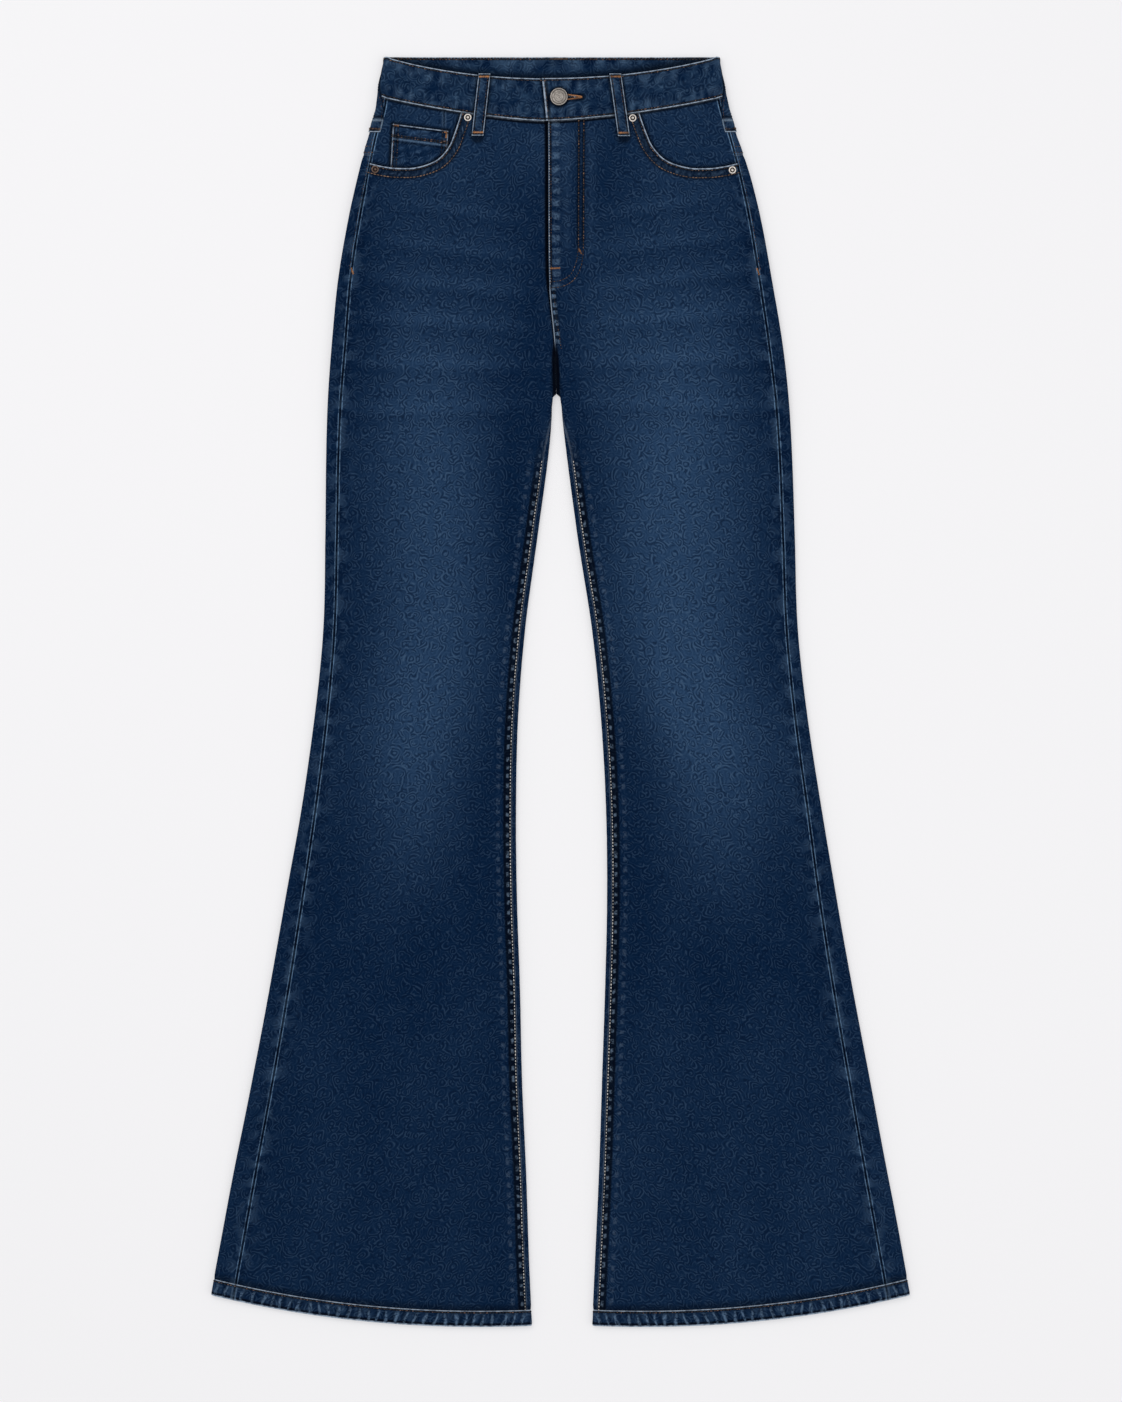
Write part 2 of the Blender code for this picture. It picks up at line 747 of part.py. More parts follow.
def band_column(side, share, along):
    """The waistband's outer face from its upper to its lower edge, rolled in slightly at both."""
    high, low, lift = 0.0, WAISTBAND_HEIGHT, 0.0
    if share is not None:
        within = min(share, 2 - share)
        high, low = waist_top(within, True), waist_seam(within, True)
        lift = band_rise(side, share, width(side, high, True))
    points = []
    for blend, roll in BAND_ROLLS:
        down = high + (low - high) * blend
        here = along if share is None else along_at(side, down, share)
        points.append(lifted(side, down, here, lift - roll))
    return points


def waistband():
    """One strip round the waist. The wearer's left end laps over the right end at the centre front."""
    right = [band_column(RIGHT, *place) for place in reversed(band_stations(RIGHT))]
    left = [band_column(LEFT, *place) for place in band_stations(LEFT)[1:]]
    grid = [list(row) for row in zip(*(right + left))]
    band = add_wall("waistband", grid, BAND_THICKNESS)
    cut = band.modifiers.new("buttonhole", "BOOLEAN")
    cut.object = buttonhole_cutter()
    cut.operation = "DIFFERENCE"


def buttonhole_cutter():
    """The keyhole: a round eye for the shank and a slit away from the centre front."""
    slit = BUTTONHOLE_SLIT / 2
    start = math.asin(slit / BUTTONHOLE_EYE)
    turns = spread(-start, start - 2 * math.pi, 12)
    outline = [(BUTTONHOLE_LENGTH, slit), (BUTTONHOLE_LENGTH, -slit)]
    for turn in turns:
        outline.append((BUTTONHOLE_EYE * math.cos(turn), BUTTONHOLE_EYE * math.sin(turn)))
    place = Vector((BUTTON_X, ORIGIN_DOWN - BUTTON_DOWN, UNDERLAP_TOP + SEAM_GAP / 3))
    mesh_data = bmesh.new()
    corners = [mesh_data.verts.new(place + Vector((x, y, 0.0))) for x, y in outline]
    base = mesh_data.faces.new(corners)
    extruded = bmesh.ops.extrude_face_region(mesh_data, geom=[base], use_keep_orig=True)
    moved = [item for item in extruded["geom"] if isinstance(item, bmesh.types.BMVert)]
    bmesh.ops.translate(mesh_data, verts=moved, vec=(0, 0, 4 * BAND_THICKNESS))
    cutter = add_object("buttonhole_cutter", mesh_data, DENIM)
    cutter.hide_render = True
    cutter.display_type = "WIRE"
    return cutter


def turned(name, profile, place, out, colour, segments):
    """A round piece about out, from a profile of (radius, height) that runs from the axis to the axis."""
    mesh_data = bmesh.new()
    turn = Vector((0.0, 0.0, 1.0)).rotation_difference(out)
    rings = []
    for radius, height in profile:
        if radius == 0.0:
            rings.append([mesh_data.verts.new(place + turn @ Vector((0, 0, height)))])
            continue
        ring = []
        for i in range(segments):
            angle = 2 * math.pi * i / segments
            local = (radius * math.cos(angle), radius * math.sin(angle), height)
            ring.append(mesh_data.verts.new(place + turn @ Vector(local)))
        rings.append(ring)
    for low, high in zip(rings, rings[1:]):
        for i in range(segments):
            after = (i + 1) % segments
            corners = [low[i % len(low)], low[after % len(low)]]
            corners += [high[after % len(high)], high[i % len(high)]]
            unique = list(dict.fromkeys(corners))
            if len(unique) > 2:
                mesh_data.faces.new(unique)
    return add_object(name, mesh_data, colour, smooth=True)


def section(rows, rim, base=0.0):
    """(radius, height) of each row of a half section."""
    return tuple((row.out + (rim if row.from_rim else 0.0), base + row.up) for row in rows)


def button():
    """The shank button: it stands on the underlap and its head covers the eye of the buttonhole."""
    lap_top = BAND_THICKNESS + 2 * SEAM_GAP + SHANK_ABOVE_LAP
    shank = ((0.0, 0.0), (SHANK_RADIUS, 0.0), (SHANK_RADIUS, lap_top))
    profile = shank + section(BUTTON_HEAD, BUTTON_DIAMETER / 2, lap_top)
    place = Vector((BUTTON_X, ORIGIN_DOWN - BUTTON_DOWN, UNDERLAP_TOP + SEAM_GAP))
    turned("button", profile, place, Vector((0, 0, 1)), PEWTER, 24)


def rivets():
    """A small domed rivet at each end of the two pocket mouths."""
    profile = section(RIVET_HEAD, RIVET_DIAMETER / 2)
    for number, rivet in enumerate(RIVETS, 1):
        along = along_to(rivet.side, rivet.down, rivet.x)
        rise = front_rise(rivet.side, rivet.down, along)
        place, out = lifted(rivet.side, rivet.down, along, rise + 2 * SEAM_GAP)
        turned(f"rivet_{number}", profile, place, out, PEWTER, 12)


def loop_point(loop, down, x, arch):
    """(point, outward direction) of a front or back loop's outer face."""
    along = along_to(loop.side, down, x)
    if not loop.on_front:
        return lifted(loop.side, down, -along, SEAT_LIFT)
    rise = front_rise(loop.side, max(down, LOOP_OVER_BAND_DOWN), along)
    return lifted(loop.side, down, along, rise + STEP_UP + LOOP_CLEARANCE + arch)


def belt_loops():
    """Five loops: a strip of doubled cloth each, held at both ends."""
    for loop in LOOPS:
        grid = []
        for v in spread(0.0, 1.0, 8):
            down = loop.top_down + (loop.low_down - loop.top_down) * v
            x = loop.top_x + (loop.low_x - loop.top_x) * v
            arch = LOOP_ARCH * math.sin(math.pi * v)
            across = spread(-LOOP_WIDTH / 2, LOOP_WIDTH / 2, 2)
            grid.append([loop_point(loop, down, x + off, arch) for off in across])
        add_wall(loop.name, grid, LOOP_THICKNESS, DENIM_WORN)
    for side in (RIGHT, LEFT):
        grid = []
        for v in spread(0.0, 1.0, 9):
            down = SIDE_LOOP_LOW_DOWN * v
            turned_in = (SIDE_LOOP_LOW_ALONG - SIDE_LOOP_TOP_ALONG) * ease(v, 0.1, 1.0)
            middle = SIDE_LOOP_TOP_ALONG + turned_in
            across = spread(middle - LOOP_WIDTH / 2, middle + LOOP_WIDTH / 2, 8)
            grid.append([lifted(side, down, along, SEAT_LIFT) for along in across])
        add_wall(f"loop_side_{NAMES[side]}", grid, LOOP_THICKNESS, DENIM_WORN)


def fly():
    """The shield behind the fly, and the closed zip that lies on it."""
    for strip in STRIPS:
        grid = []
        for v in spread(0.0, 1.0, 8):
            row = []
            for u in spread(0.0, 1.0, 4):
                from_centre = strip.near + (strip.far - strip.near) * u
                share = 1 - from_centre / width(LEFT, WAISTBAND_HEIGHT, True)
                high = waist_seam(share, True) + FLY_TOP_GAP
                low = FLY_END_DOWN - FLY_END_SLOPE * u
                down = high + (low - high) * v
                along = front_length(LEFT, down) - from_centre
                row.append(lifted(LEFT, down, along, strip.lift))
            grid.append(row)
        add_wall(strip.name, grid, strip.thickness, strip.colour)


def hem_stations(side, down):
    """Along the cloth all round the leg's opening."""
    length = front_length(side, down)
    front = spread(QUARTER, length - QUARTER, 9)[1:-1]
    turn_out = spread(-QUARTER, QUARTER, 6)
    turn_in = spread(length - QUARTER, length + QUARTER, 6)
    back = [2 * length - along for along in reversed(front)]
    return turn_out + front + turn_in + back


def hem(side):
    """The turned-up hem: one ring round the leg's opening."""
    line = HEM_OUTER_DOWN - HEM_HEIGHT
    grid = []
    for blend, roll in HEM_ROLLS:
        points = bowed_row(side, line + HEM_HEIGHT * blend, hem_stations)
        grid.append([lifted(side, down, along, -roll) for down, along in points])
    add_wall(f"hem_{NAMES[side]}", grid, HEM_THICKNESS, DENIM, ring=True)


def clear_scene():
    """Removes what the startup scene holds."""
    for old in list(bpy.data.objects):
        bpy.data.objects.remove(old, do_unlink=True)


def main():
    """Builds every piece."""
    clear_scene()
    for side in (RIGHT, LEFT):
        front_panel(side)
        back_panel(side)
        yoke(side)
        pocket_facing(side)
        back_pocket(side)
        hem(side)
    coin_pocket()
    waistband()
    fly()
    belt_loops()
    button()
    rivets()


main()
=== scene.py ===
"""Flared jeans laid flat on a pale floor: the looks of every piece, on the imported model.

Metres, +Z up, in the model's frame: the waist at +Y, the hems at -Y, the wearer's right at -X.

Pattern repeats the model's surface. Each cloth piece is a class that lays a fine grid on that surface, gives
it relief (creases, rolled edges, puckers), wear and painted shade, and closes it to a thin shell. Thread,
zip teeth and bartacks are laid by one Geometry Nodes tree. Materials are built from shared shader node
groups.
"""

import json
import logging
import math
from dataclasses import asdict, dataclass, field, replace
from enum import Enum
from functools import partialmethod
from typing import Callable, Sequence

import bmesh
import bpy
import numpy as np
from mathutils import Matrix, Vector
from mathutils.bvhtree import BVHTree

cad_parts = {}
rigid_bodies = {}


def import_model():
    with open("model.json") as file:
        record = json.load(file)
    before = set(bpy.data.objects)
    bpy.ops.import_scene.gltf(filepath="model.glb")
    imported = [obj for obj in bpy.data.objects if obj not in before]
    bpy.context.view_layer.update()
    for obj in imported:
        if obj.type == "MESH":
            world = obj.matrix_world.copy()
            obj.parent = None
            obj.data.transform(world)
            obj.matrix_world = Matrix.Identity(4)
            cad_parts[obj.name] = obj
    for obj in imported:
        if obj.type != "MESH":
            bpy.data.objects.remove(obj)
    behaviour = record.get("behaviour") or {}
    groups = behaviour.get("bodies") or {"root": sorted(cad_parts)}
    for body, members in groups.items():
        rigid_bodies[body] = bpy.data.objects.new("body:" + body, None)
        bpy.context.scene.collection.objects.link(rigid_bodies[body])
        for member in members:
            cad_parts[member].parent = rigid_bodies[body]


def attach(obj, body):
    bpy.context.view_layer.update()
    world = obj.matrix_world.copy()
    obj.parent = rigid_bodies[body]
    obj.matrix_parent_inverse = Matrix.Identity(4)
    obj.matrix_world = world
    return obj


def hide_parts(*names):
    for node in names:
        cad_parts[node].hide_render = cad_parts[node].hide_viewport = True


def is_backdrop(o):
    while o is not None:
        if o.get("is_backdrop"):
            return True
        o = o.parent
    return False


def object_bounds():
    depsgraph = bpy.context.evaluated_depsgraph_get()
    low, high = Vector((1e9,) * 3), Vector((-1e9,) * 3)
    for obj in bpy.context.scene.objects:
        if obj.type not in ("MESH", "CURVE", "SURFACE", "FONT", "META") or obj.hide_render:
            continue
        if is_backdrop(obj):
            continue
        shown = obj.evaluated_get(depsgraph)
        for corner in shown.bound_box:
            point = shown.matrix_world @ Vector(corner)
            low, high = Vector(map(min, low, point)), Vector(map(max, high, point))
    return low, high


logging.basicConfig(level=logging.INFO, format="%(message)s")
LOG = logging.getLogger("jeans")

Array = np.ndarray
Place = tuple[float, float]
MM = 0.001
FULL_TURN = 2 * math.pi


class Side(Enum):
    """A leg, by the wearer's side."""

    RIGHT = -1
    LEFT = 1

    @property
    def label(self) -> str:
        """The side's name in piece names."""
        return self.name.lower()


class Slot(Enum):
    """The record's material slots."""

    DENIM = "denim"
    WORN = "worn_denim"
    TAPE = "zip_tape"
    METAL = "pewter"


# ---------------------------------------------------------------------------------------------- the pattern

# Side folds and the side seam, in millimetres: down, right fold, left fold, seam in from the fold.
SECTIONS = (
    (0.0, -158.9, 143.0, 7.2), (25.2, -162.5, 146.2, 8.0), (47.7, -165.2, 150.7, 8.4),
    (70.2, -172.7, 158.5, 8.4), (106.2, -182.3, 170.5, 10.8), (146.7, -191.3, 180.4, 12.0),
    (200.7, -200.3, 190.3, 13.0), (254.7, -205.7, 199.3, 14.0), (306.0, -209.4, 205.2, 13.6),
    (353.7, -211.1, 208.3, 13.0), (434.7, -212.0, 211.0, 12.4), (515.7, -213.8, 213.7, 12.0),
    (596.7, -221.9, 222.7, 13.0), (677.7, -233.6, 235.3, 14.6), (758.7, -248.0, 248.8, 17.2),
    (839.7, -262.4, 263.2, 19.0), (920.7, -277.7, 278.5, 20.4), (1001.7, -293.9, 293.8, 21.6),
    (1082.7, -309.2, 309.1, 22.4), (1143.0, -320.0, 320.0, 22.4),
)
# Inner folds below the crotch: down, right, left.
LEGS = (
    (306.0, -6.8, -0.5), (353.7, -10.4, 4.9), (434.7, -21.2, 15.7), (515.7, -32.0, 28.3),
    (596.7, -38.3, 36.4), (677.7, -40.1, 40.9), (758.7, -39.2, 41.8), (839.7, -36.5, 40.0),
    (920.7, -34.7, 37.3), (1001.7, -31.1, 34.6), (1082.7, -28.4, 31.0), (1143.0, -25.7, 28.3),
)
# Centre lines above the crotch: down, front, back.
CENTRES = (
    (0.0, -13.6, -8.2), (57.0, -11.4, -7.4), (205.0, -10.2, -5.4), (259.0, -5.4, -4.4),
    (306.0, -3.65, -3.65),
)
# The front pocket mouth: share across from the side fold to the centre front, down in millimetres.
POCKET_MOUTH = (
    (0.495, 50.5), (0.478, 68.0), (0.455, 81.5), (0.400, 93.2), (0.300, 99.6), (0.200, 100.2),
    (0.140, 99.2), (0.090, 97.8), (0.045, 96.0),
)

# Rows of thread and bartacks: x and down of their corners, in millimetres.
FLY_ROWS = (
    ((16.4, 58.5), (16.3, 100), (16.2, 140), (16, 170), (14.2, 184), (9.4, 195.4), (1, 201), (-8.6, 202.6)),
    ((20.9, 58), (20.8, 100), (20.7, 140), (20.5, 172), (18.2, 189), (11.6, 201), (2, 206.6), (-8.4, 208.2)),
)
RISE_ROWS = (
    ((-6.0, 213), (-4.2, 232), (-1.4, 250), (0.6, 262)), ((-8.9, 60), (-8.7, 100), (-8.5, 150), (-8.2, 200)),
)
SIDE_TACKS = {
    Side.RIGHT: ((-188.2, 190.2), (-186.4, 195.6)), Side.LEFT: ((176.6, 190.6), (178.8, 196.2)),
}
FLY_TACKS = (((-9.2, 190.6), (-0.6, 190.2)), ((16.4, 173.0), (18.6, 177.4)))
COIN_TACKS = (
    ((-150.0, 61.8), (-145.6, 62.4)), ((-104.6, 67.9), (-102.2, 68.3)), ((-102.6, 68.6), (-102.9, 73.0)),
)
# The front belt loops' ends: (x, down) of each upper and lower end, in metres.
LOOP_PLACES = (((-0.0684, 0.0155), (-0.0747, 0.0711)), ((0.0491, 0.0155), (0.0570, 0.0715)))
COIN_CORNERS = ((-0.1508, 0.0605), (-0.1010, 0.0668), (-0.1040, 0.1120), (-0.1538, 0.1120))
# How many columns of a front panel end at its pocket mouth; the others end at the waistband.
MOUTH_COLUMNS = 59


def ease(value: Array | float, start: Array | float, end: Array | float) -> Array:
    """0 before start, 1 after end, with a soft change between."""
    t = np.clip((np.asarray(value, float) - start) / (end - start), 0.0, 1.0)
    return t * t * (3 - 2 * t)


def fall(value: Array | float, start: Array | float, end: Array | float) -> Array:
    """1 before start, 0 after end, with a soft change between."""
    return 1 - ease(value, start, end)


def bump(value: Array | float, centre: float, half: float) -> Array:
    """1 at centre, fading softly to 0 at half to either side."""
    return fall(np.abs(np.asarray(value, float) - centre), 0.0, half)


def bell(value: Array, centre: float, half: Array | float) -> Array:
    """1 at centre, falling off as a bell does; 0.37 at half to either side."""
    return np.exp(-(((value - centre) / half) ** 2))


class Column:
    """A smooth curve through one column of a table, in metres."""

    def __init__(self, rows: Sequence[Sequence[float]], column: int) -> None:
        """Fits the slopes at the table's places.

        Args:
            rows: the table, in millimetres.
            column: which of its columns.
        """
        table = np.array(rows) * MM
        self.places, self.values = table[:, 0], table[:, column]
        last = len(rows) - 1
        low = np.maximum(np.arange(last + 1) - 1, 0)
        high = np.minimum(np.arange(last + 1) + 1, last)
        self.slopes = (self.values[high] - self.values[low]) / (self.places[high] - self.places[low])

    def __call__(self, down: Array | float) -> Array:
        """The curve's value at each place down the garment.

        Args:
            down: places down the garment.

        Returns:
            The value at each place.
        """
        down = np.asarray(down, float)
        i = np.clip(np.searchsorted(self.places, down, side="right") - 1, 0, len(self.places) - 2)
        span = self.places[i + 1] - self.places[i]
        t = (down - self.places[i]) / span
        inside = (
            self.values[i] * (1 + 2 * t) * (1 - t) ** 2
            + self.slopes[i] * span * t * (1 - t) ** 2
            + self.values[i + 1] * t * t * (3 - 2 * t)
            + self.slopes[i + 1] * span * t * t * (t - 1)
        )
        before = self.values[0] + self.slopes[0] * (down - self.places[0])
        after = self.values[-1] + self.slopes[-1] * (down - self.places[-1])
        return np.where(down <= self.places[0], before, np.where(down >= self.places[-1], after, inside))


class Hills:
    """Soft seeded unevenness: a sum of a few waves in two directions, from -1 to 1."""

    def __init__(self, seed: int, size: float, stretch: float = 1.0, waves: int = 7) -> None:
        """Draws the waves.

        Args:
            seed: picks the unevenness.
            size: the usual distance from hill to hill.
            stretch: makes the hills longer down the leg.
            waves: how many are summed.
        """
        chance = np.random.default_rng(seed)
        angle = chance.uniform(0, FULL_TURN, waves)
        pace = FULL_TURN / size * chance.uniform(0.6, 1.5, waves)
        self.across = np.cos(angle) * pace
        self.down = np.sin(angle) * pace / stretch
        self.phase = chance.uniform(0, FULL_TURN, waves)

    def __call__(self, across: Array, down: Array) -> Array:
        """The height at each place.

        Args:
            across: places across the cut cloth.
            down: places down the garment.

        Returns:
            The height at each place.
        """
        total = sum(
            np.sin(a * across + d * down + p) for a, d, p in zip(self.across, self.down, self.phase)
        )
        return total / math.sqrt(2 * len(self.phase))


@dataclass(frozen=True)
class Pattern:
    """The garment's outer surface and the seams on it, as the model has them. down and along are arrays.

    down runs from the back of the waist to the hems. along is measured on the cloth from the side fold:
    positive over the front, negative under the back.
    """

    band_height: float = 0.0360
    waist_dip: float = 0.0194
    seam_dip: float = 0.0216
    crotch: float = 0.3060
    slit_top: float = 0.2590
    slit_half: float = 0.00315
    slit_slope: float = 0.0035
    slit_fade: float = 0.0300
    hem_height: float = 0.0145
    hem_outer: float = 1.1142
    hem_sweep: float = 0.0288
    hem_lowest: float = 0.84
    hem_fade: float = 0.2500
    inseam_in: float = 0.0062
    past_fold: float = 0.0005
    inseam_front: float = 0.3600
    yoke_side: float = 0.0880
    yoke_drop: float = 0.0400
    origin: float = 0.57125
    cloth: float = 0.0012
    band: float = 0.0018
    hem: float = 0.0024
    zip: float = 0.0010
    gap: float = 0.0003
    layer: float = 0.0008
    clear: float = 0.0060
    radius: float = 0.0030
    fold_fade: float = 0.0300
    seat: float = 0.0017
    fly_width: float = 0.0320
    fly_end: float = 0.2060
    outer_right: Column = field(default_factory=lambda: Column(SECTIONS, 1))
    outer_left: Column = field(default_factory=lambda: Column(SECTIONS, 2))
    seam_in: Column = field(default_factory=lambda: Column(SECTIONS, 3))
    inner_right: Column = field(default_factory=lambda: Column(LEGS, 1))
    inner_left: Column = field(default_factory=lambda: Column(LEGS, 2))
    centre_front: Column = field(default_factory=lambda: Column(CENTRES, 1))
    centre_back: Column = field(default_factory=lambda: Column(CENTRES, 2))

    @property
    def quarter(self) -> float:
        """Along the cloth round a quarter of a fold."""
        return math.pi * self.radius / 2

    @property
    def step(self) -> float:
        """One layer of cloth and the gap over it."""
        return self.cloth + self.gap

    @property
    def hem_line(self) -> float:
        """down of the hem's upper edge at the side fold."""
        return self.hem_outer - self.hem_height

    def outer(self, side: Side, down: Array) -> Array:
        """Across, at the side fold."""
        return (self.outer_right if side is Side.RIGHT else self.outer_left)(down)

    def inner(self, side: Side, down: Array) -> Array:
        """Across, at the leg's inner fold."""
        return (self.inner_right if side is Side.RIGHT else self.inner_left)(down)

    def width(self, side: Side, down: Array, front: Array | bool = True) -> Array:
        """From the side fold to the inner fold or, above the crotch, to the centre line.

        Args:
            side: the wearer's side.
            down: places down the garment.
            front: whether it is the front that is measured.

        Returns:
            The width at each place.
        """
        centre = np.where(front, self.centre_front(down), self.centre_back(down))
        far = np.where(np.asarray(down) > self.crotch, self.inner(side, down), centre)
        return np.abs(self.outer(side, down) - far)

    def front_length(self, side: Side, down: Array) -> Array:
        """Along the cloth of the front, from fold to fold, or from the side fold to the centre front."""
        folds = np.where(np.asarray(down) > self.crotch, 2.0, 1.0)
        return self.width(side, down) + folds * (self.quarter - self.radius)

    def seat_height(self, down: Array) -> Array:
        """The back's outer face over the surface that the jeans lie on."""
        return self.seat * fall(down, 0.30, 0.37)

    def front_level(self, down: Array) -> Array:
        """The front's outer face over the back's, away from the folds.

        Args:
            down: places down the garment.

        Returns:
            Heights in metres.
        """
        level = 2 * self.cloth + self.layer
        level = level + (2 * self.band + self.layer - level) * fall(down, 0.055, 0.100)
        return level + (2 * self.hem + self.layer - level) * ease(down, 1.050, 1.098)

    def near_fold(self, distance: Array) -> Array:
        """1 beside a fold, fading to 0 over the cloth next to it."""
        return fall(distance, self.radius, self.radius + self.fold_fade)

    def front_height(self, side: Side, down: Array, inward: Array) -> Array:
        """The front's outer face at a distance inside the side fold.

        Args:
            side: the wearer's side.
            down: places down the garment.
            inward: distances inside the side fold.

        Returns:
            Heights in metres.
        """
        level = self.front_level(down)
        rise = 2 * self.radius - level
        across = self.width(side, down)
        height = level + rise * self.near_fold(inward)
        on_leg = height + rise * self.near_fold(across - inward)
        from_centre = np.abs(across - inward)
        half = self.slit_half * ease(down, self.slit_top, self.crotch)
        opening = ease(down, self.slit_top - self.slit_fade, self.crotch)
        above = height + opening * rise * self.near_fold(from_centre - half)
        valley = fall(from_centre, half, half + self.slit_slope)
        valley = valley * ease(down, self.slit_top, self.slit_top + self.slit_fade)
        above = above + (2 * self.cloth + self.gap - above) * valley
        return self.seat_height(down) + np.where(np.asarray(down) > self.crotch, on_leg, above)

    def face(self, side: Side, down: Array, along: Array) -> Array:
        """Points of the outer face, as an array that ends in x, y, z.

        Args:
            side: the wearer's side.
            down: places down the garment.
            along: places along the cloth.

        Returns:
            x, y, z of each place.
        """
        down, along = np.broadcast_arrays(np.asarray(down, float), np.asarray(along, float))
        leg = down > self.crotch
        length = self.front_length(side, down)
        past = leg & (np.abs(along) > length)
        along = np.where(past, along - np.copysign(2 * length, along), along)
        base, edge, reach = self.seat_height(down), self.outer(side, down), np.abs(along)
        front = along >= 0
        up = np.where(front, 1.0, -1.0)
        across = self.width(side, down, front)
        r = self.radius
        turn = reach / r
        first = reach < self.quarter
        far = (reach - self.quarter - across + 2 * r) / r
        last = leg & (far > 0) & ~first
        inward = np.where(
            first, r * (1 - np.cos(turn)),
            np.where(last, across - r + r * np.sin(far), r + reach - self.quarter),
        )
        flat = np.where(front, self.front_height(side, down, inward), base)
        height = np.where(
            first, base + r + up * r * np.sin(turn),
            np.where(last, base + r + up * r * np.cos(far), flat),
        )
        return np.stack([edge - side.value * inward, self.origin - down, height], axis=-1)

    def out(self, side: Side, down: Array, along: Array) -> Array:
        """The outward direction of the face.

        Args:
            side: the wearer's side.
            down: places down the garment.
            along: places along the cloth.

        Returns:
            A direction of length 1 at each place.
        """
        step = 0.0004
        down, along = np.broadcast_arrays(np.asarray(down, float), np.asarray(along, float))
        split = (down - step <= self.crotch) & (down + step > self.crotch)
        low = np.where(split & (down > self.crotch), down, down - step)
        high = np.where(split & (down <= self.crotch), down, down + step)
        across = self.face(side, down, along + step) - self.face(side, down, along - step)
        way = self.face(side, high, along) - self.face(side, low, along)
        normal = side.value * np.cross(across, way)
        return normal / np.maximum(np.linalg.norm(normal, axis=-1, keepdims=True), 1e-12)

    def place(self, side: Side, down: Array, along: Array, lift: Array | float = 0.0) -> Array:
        """Points of the face moved out by lift."""
        lift = np.broadcast_to(np.asarray(lift, float), np.broadcast(down, along).shape)
        return self.face(side, down, along) + self.out(side, down, along) * lift[..., None]

    def along_at(self, side: Side, down: Array, share: Array) -> Array:
        """Along the front's cloth at a share of the way from the side fold to the centre or inner fold."""
        return share * self.width(side, down) - self.radius + self.quarter

    def along_to(self, side: Side, down: Array, x: Array) -> Array:
        """Along the cloth from the side fold to a place across the garment."""
        return (self.outer(side, down) - x) * side.value - self.radius + self.quarter

    def inward(self, side: Side, down: Array, along: Array) -> Array:
        """Distance inside the side fold, seen flat."""
        return np.abs(self.face(side, down, along)[..., 0] - self.outer(side, down))

    def inseam(self, side: Side, down: Array) -> Array:
        """Along the cloth, at the inseam."""
        on_front = ease(down, self.crotch, self.inseam_front)
        return self.front_length(side, down) - self.inseam_in * on_front + self.past_fold * (1 - on_front)

    def bowed(self, side: Side, down: Array, along: Array) -> Array:
        """down, with the swing of the hem faded in over the lower leg.

        Args:
            side: the wearer's side.
            down: places down the garment.
            along: places along the cloth.

        Returns:
            The moved places down the garment.
        """
        front = np.asarray(along) >= 0
        share = np.minimum(self.inward(side, down, along) / self.width(side, down, front), 1.0)
        bow = self.hem_sweep * (1 - ((self.hem_lowest - share) / self.hem_lowest) ** 2)
        return down + bow * ease(down, self.hem_line - self.hem_fade, self.hem_line)

    def waist_seam(self, share: Array) -> Array:
        """down of the waistband's lower edge on the front."""
        return self.band_height + self.seam_dip * (1 - (1 - np.clip(share, 0, 1)) ** 1.5)

    def waist_top(self, share: Array) -> Array:
        """down of the waistband's upper edge on the front."""
        return self.waist_dip * (1 - (1 - np.clip(share, 0, 1)) ** 2)

    def mouth_rise(self, side: Side, down: Array, inward: Array) -> Array:
        """How far a front is lifted by the facing under it, and by the coin pocket.

        Args:
            side: the wearer's side.
            down: places down the garment.
            inward: distances inside the side fold.

        Returns:
            The lift at each place.
        """
        reach = self.width(side, down)
        from_end = inward - (0.62 * reach + self.clear)
        lift = fall(from_end, 0.0, 0.022) * fall(down, 0.128, 0.150)
        if side is Side.RIGHT:
            lift = lift + fall(down, 0.118, 0.140) * fall(inward / reach, 0.45, 0.60)
        return self.step * lift

    def fly_rise(self, side: Side, down: Array, inward: Array) -> Array:
        """How far the wearer's left front is lifted by the zip and the shield.

        Args:
            side: the wearer's side.
            down: places down the garment.
            inward: distances inside the side fold.

        Returns:
            The lift at each place.
        """
        if side is Side.RIGHT:
            return np.zeros(np.broadcast(down, inward).shape)
        from_centre = self.width(side, down) - inward
        lift = fall(from_centre, self.fly_width + self.clear, self.fly_width + self.clear + 0.030)
        low = self.fly_end + 3 * self.clear
        return (self.step + self.zip + self.gap) * lift * fall(down, low, low + 0.030)

    def front_rise(self, side: Side, down: Array, along: Array) -> Array:
        """How far a front is lifted by all that lies under it."""
        inward = self.inward(side, down, along)
        return self.mouth_rise(side, down, inward) + self.fly_rise(side, down, inward)

    def yoke_seam(self, side: Side, along: Array) -> Array:
        """down of the yoke's lower edge: level at the side, dropping to the centre back."""
        share = (-along - self.quarter) / self.width(side, self.yoke_side, False)
        return self.yoke_side + self.yoke_drop * np.maximum(share, 0.0)


PATTERN = Pattern()


def seen_above(places: Sequence[Place]) -> Array:
    """Places given as (x, down), as a line seen from above."""
    return np.array([(x, PATTERN.origin - down) for x, down in places])


def steps_down(count: int) -> Array:
    """Even shares from 0 to 1, one to a row."""
    return np.linspace(0, 1, count)[:, None]


# ---------------------------------------------------------------------------------------------- cloth pieces


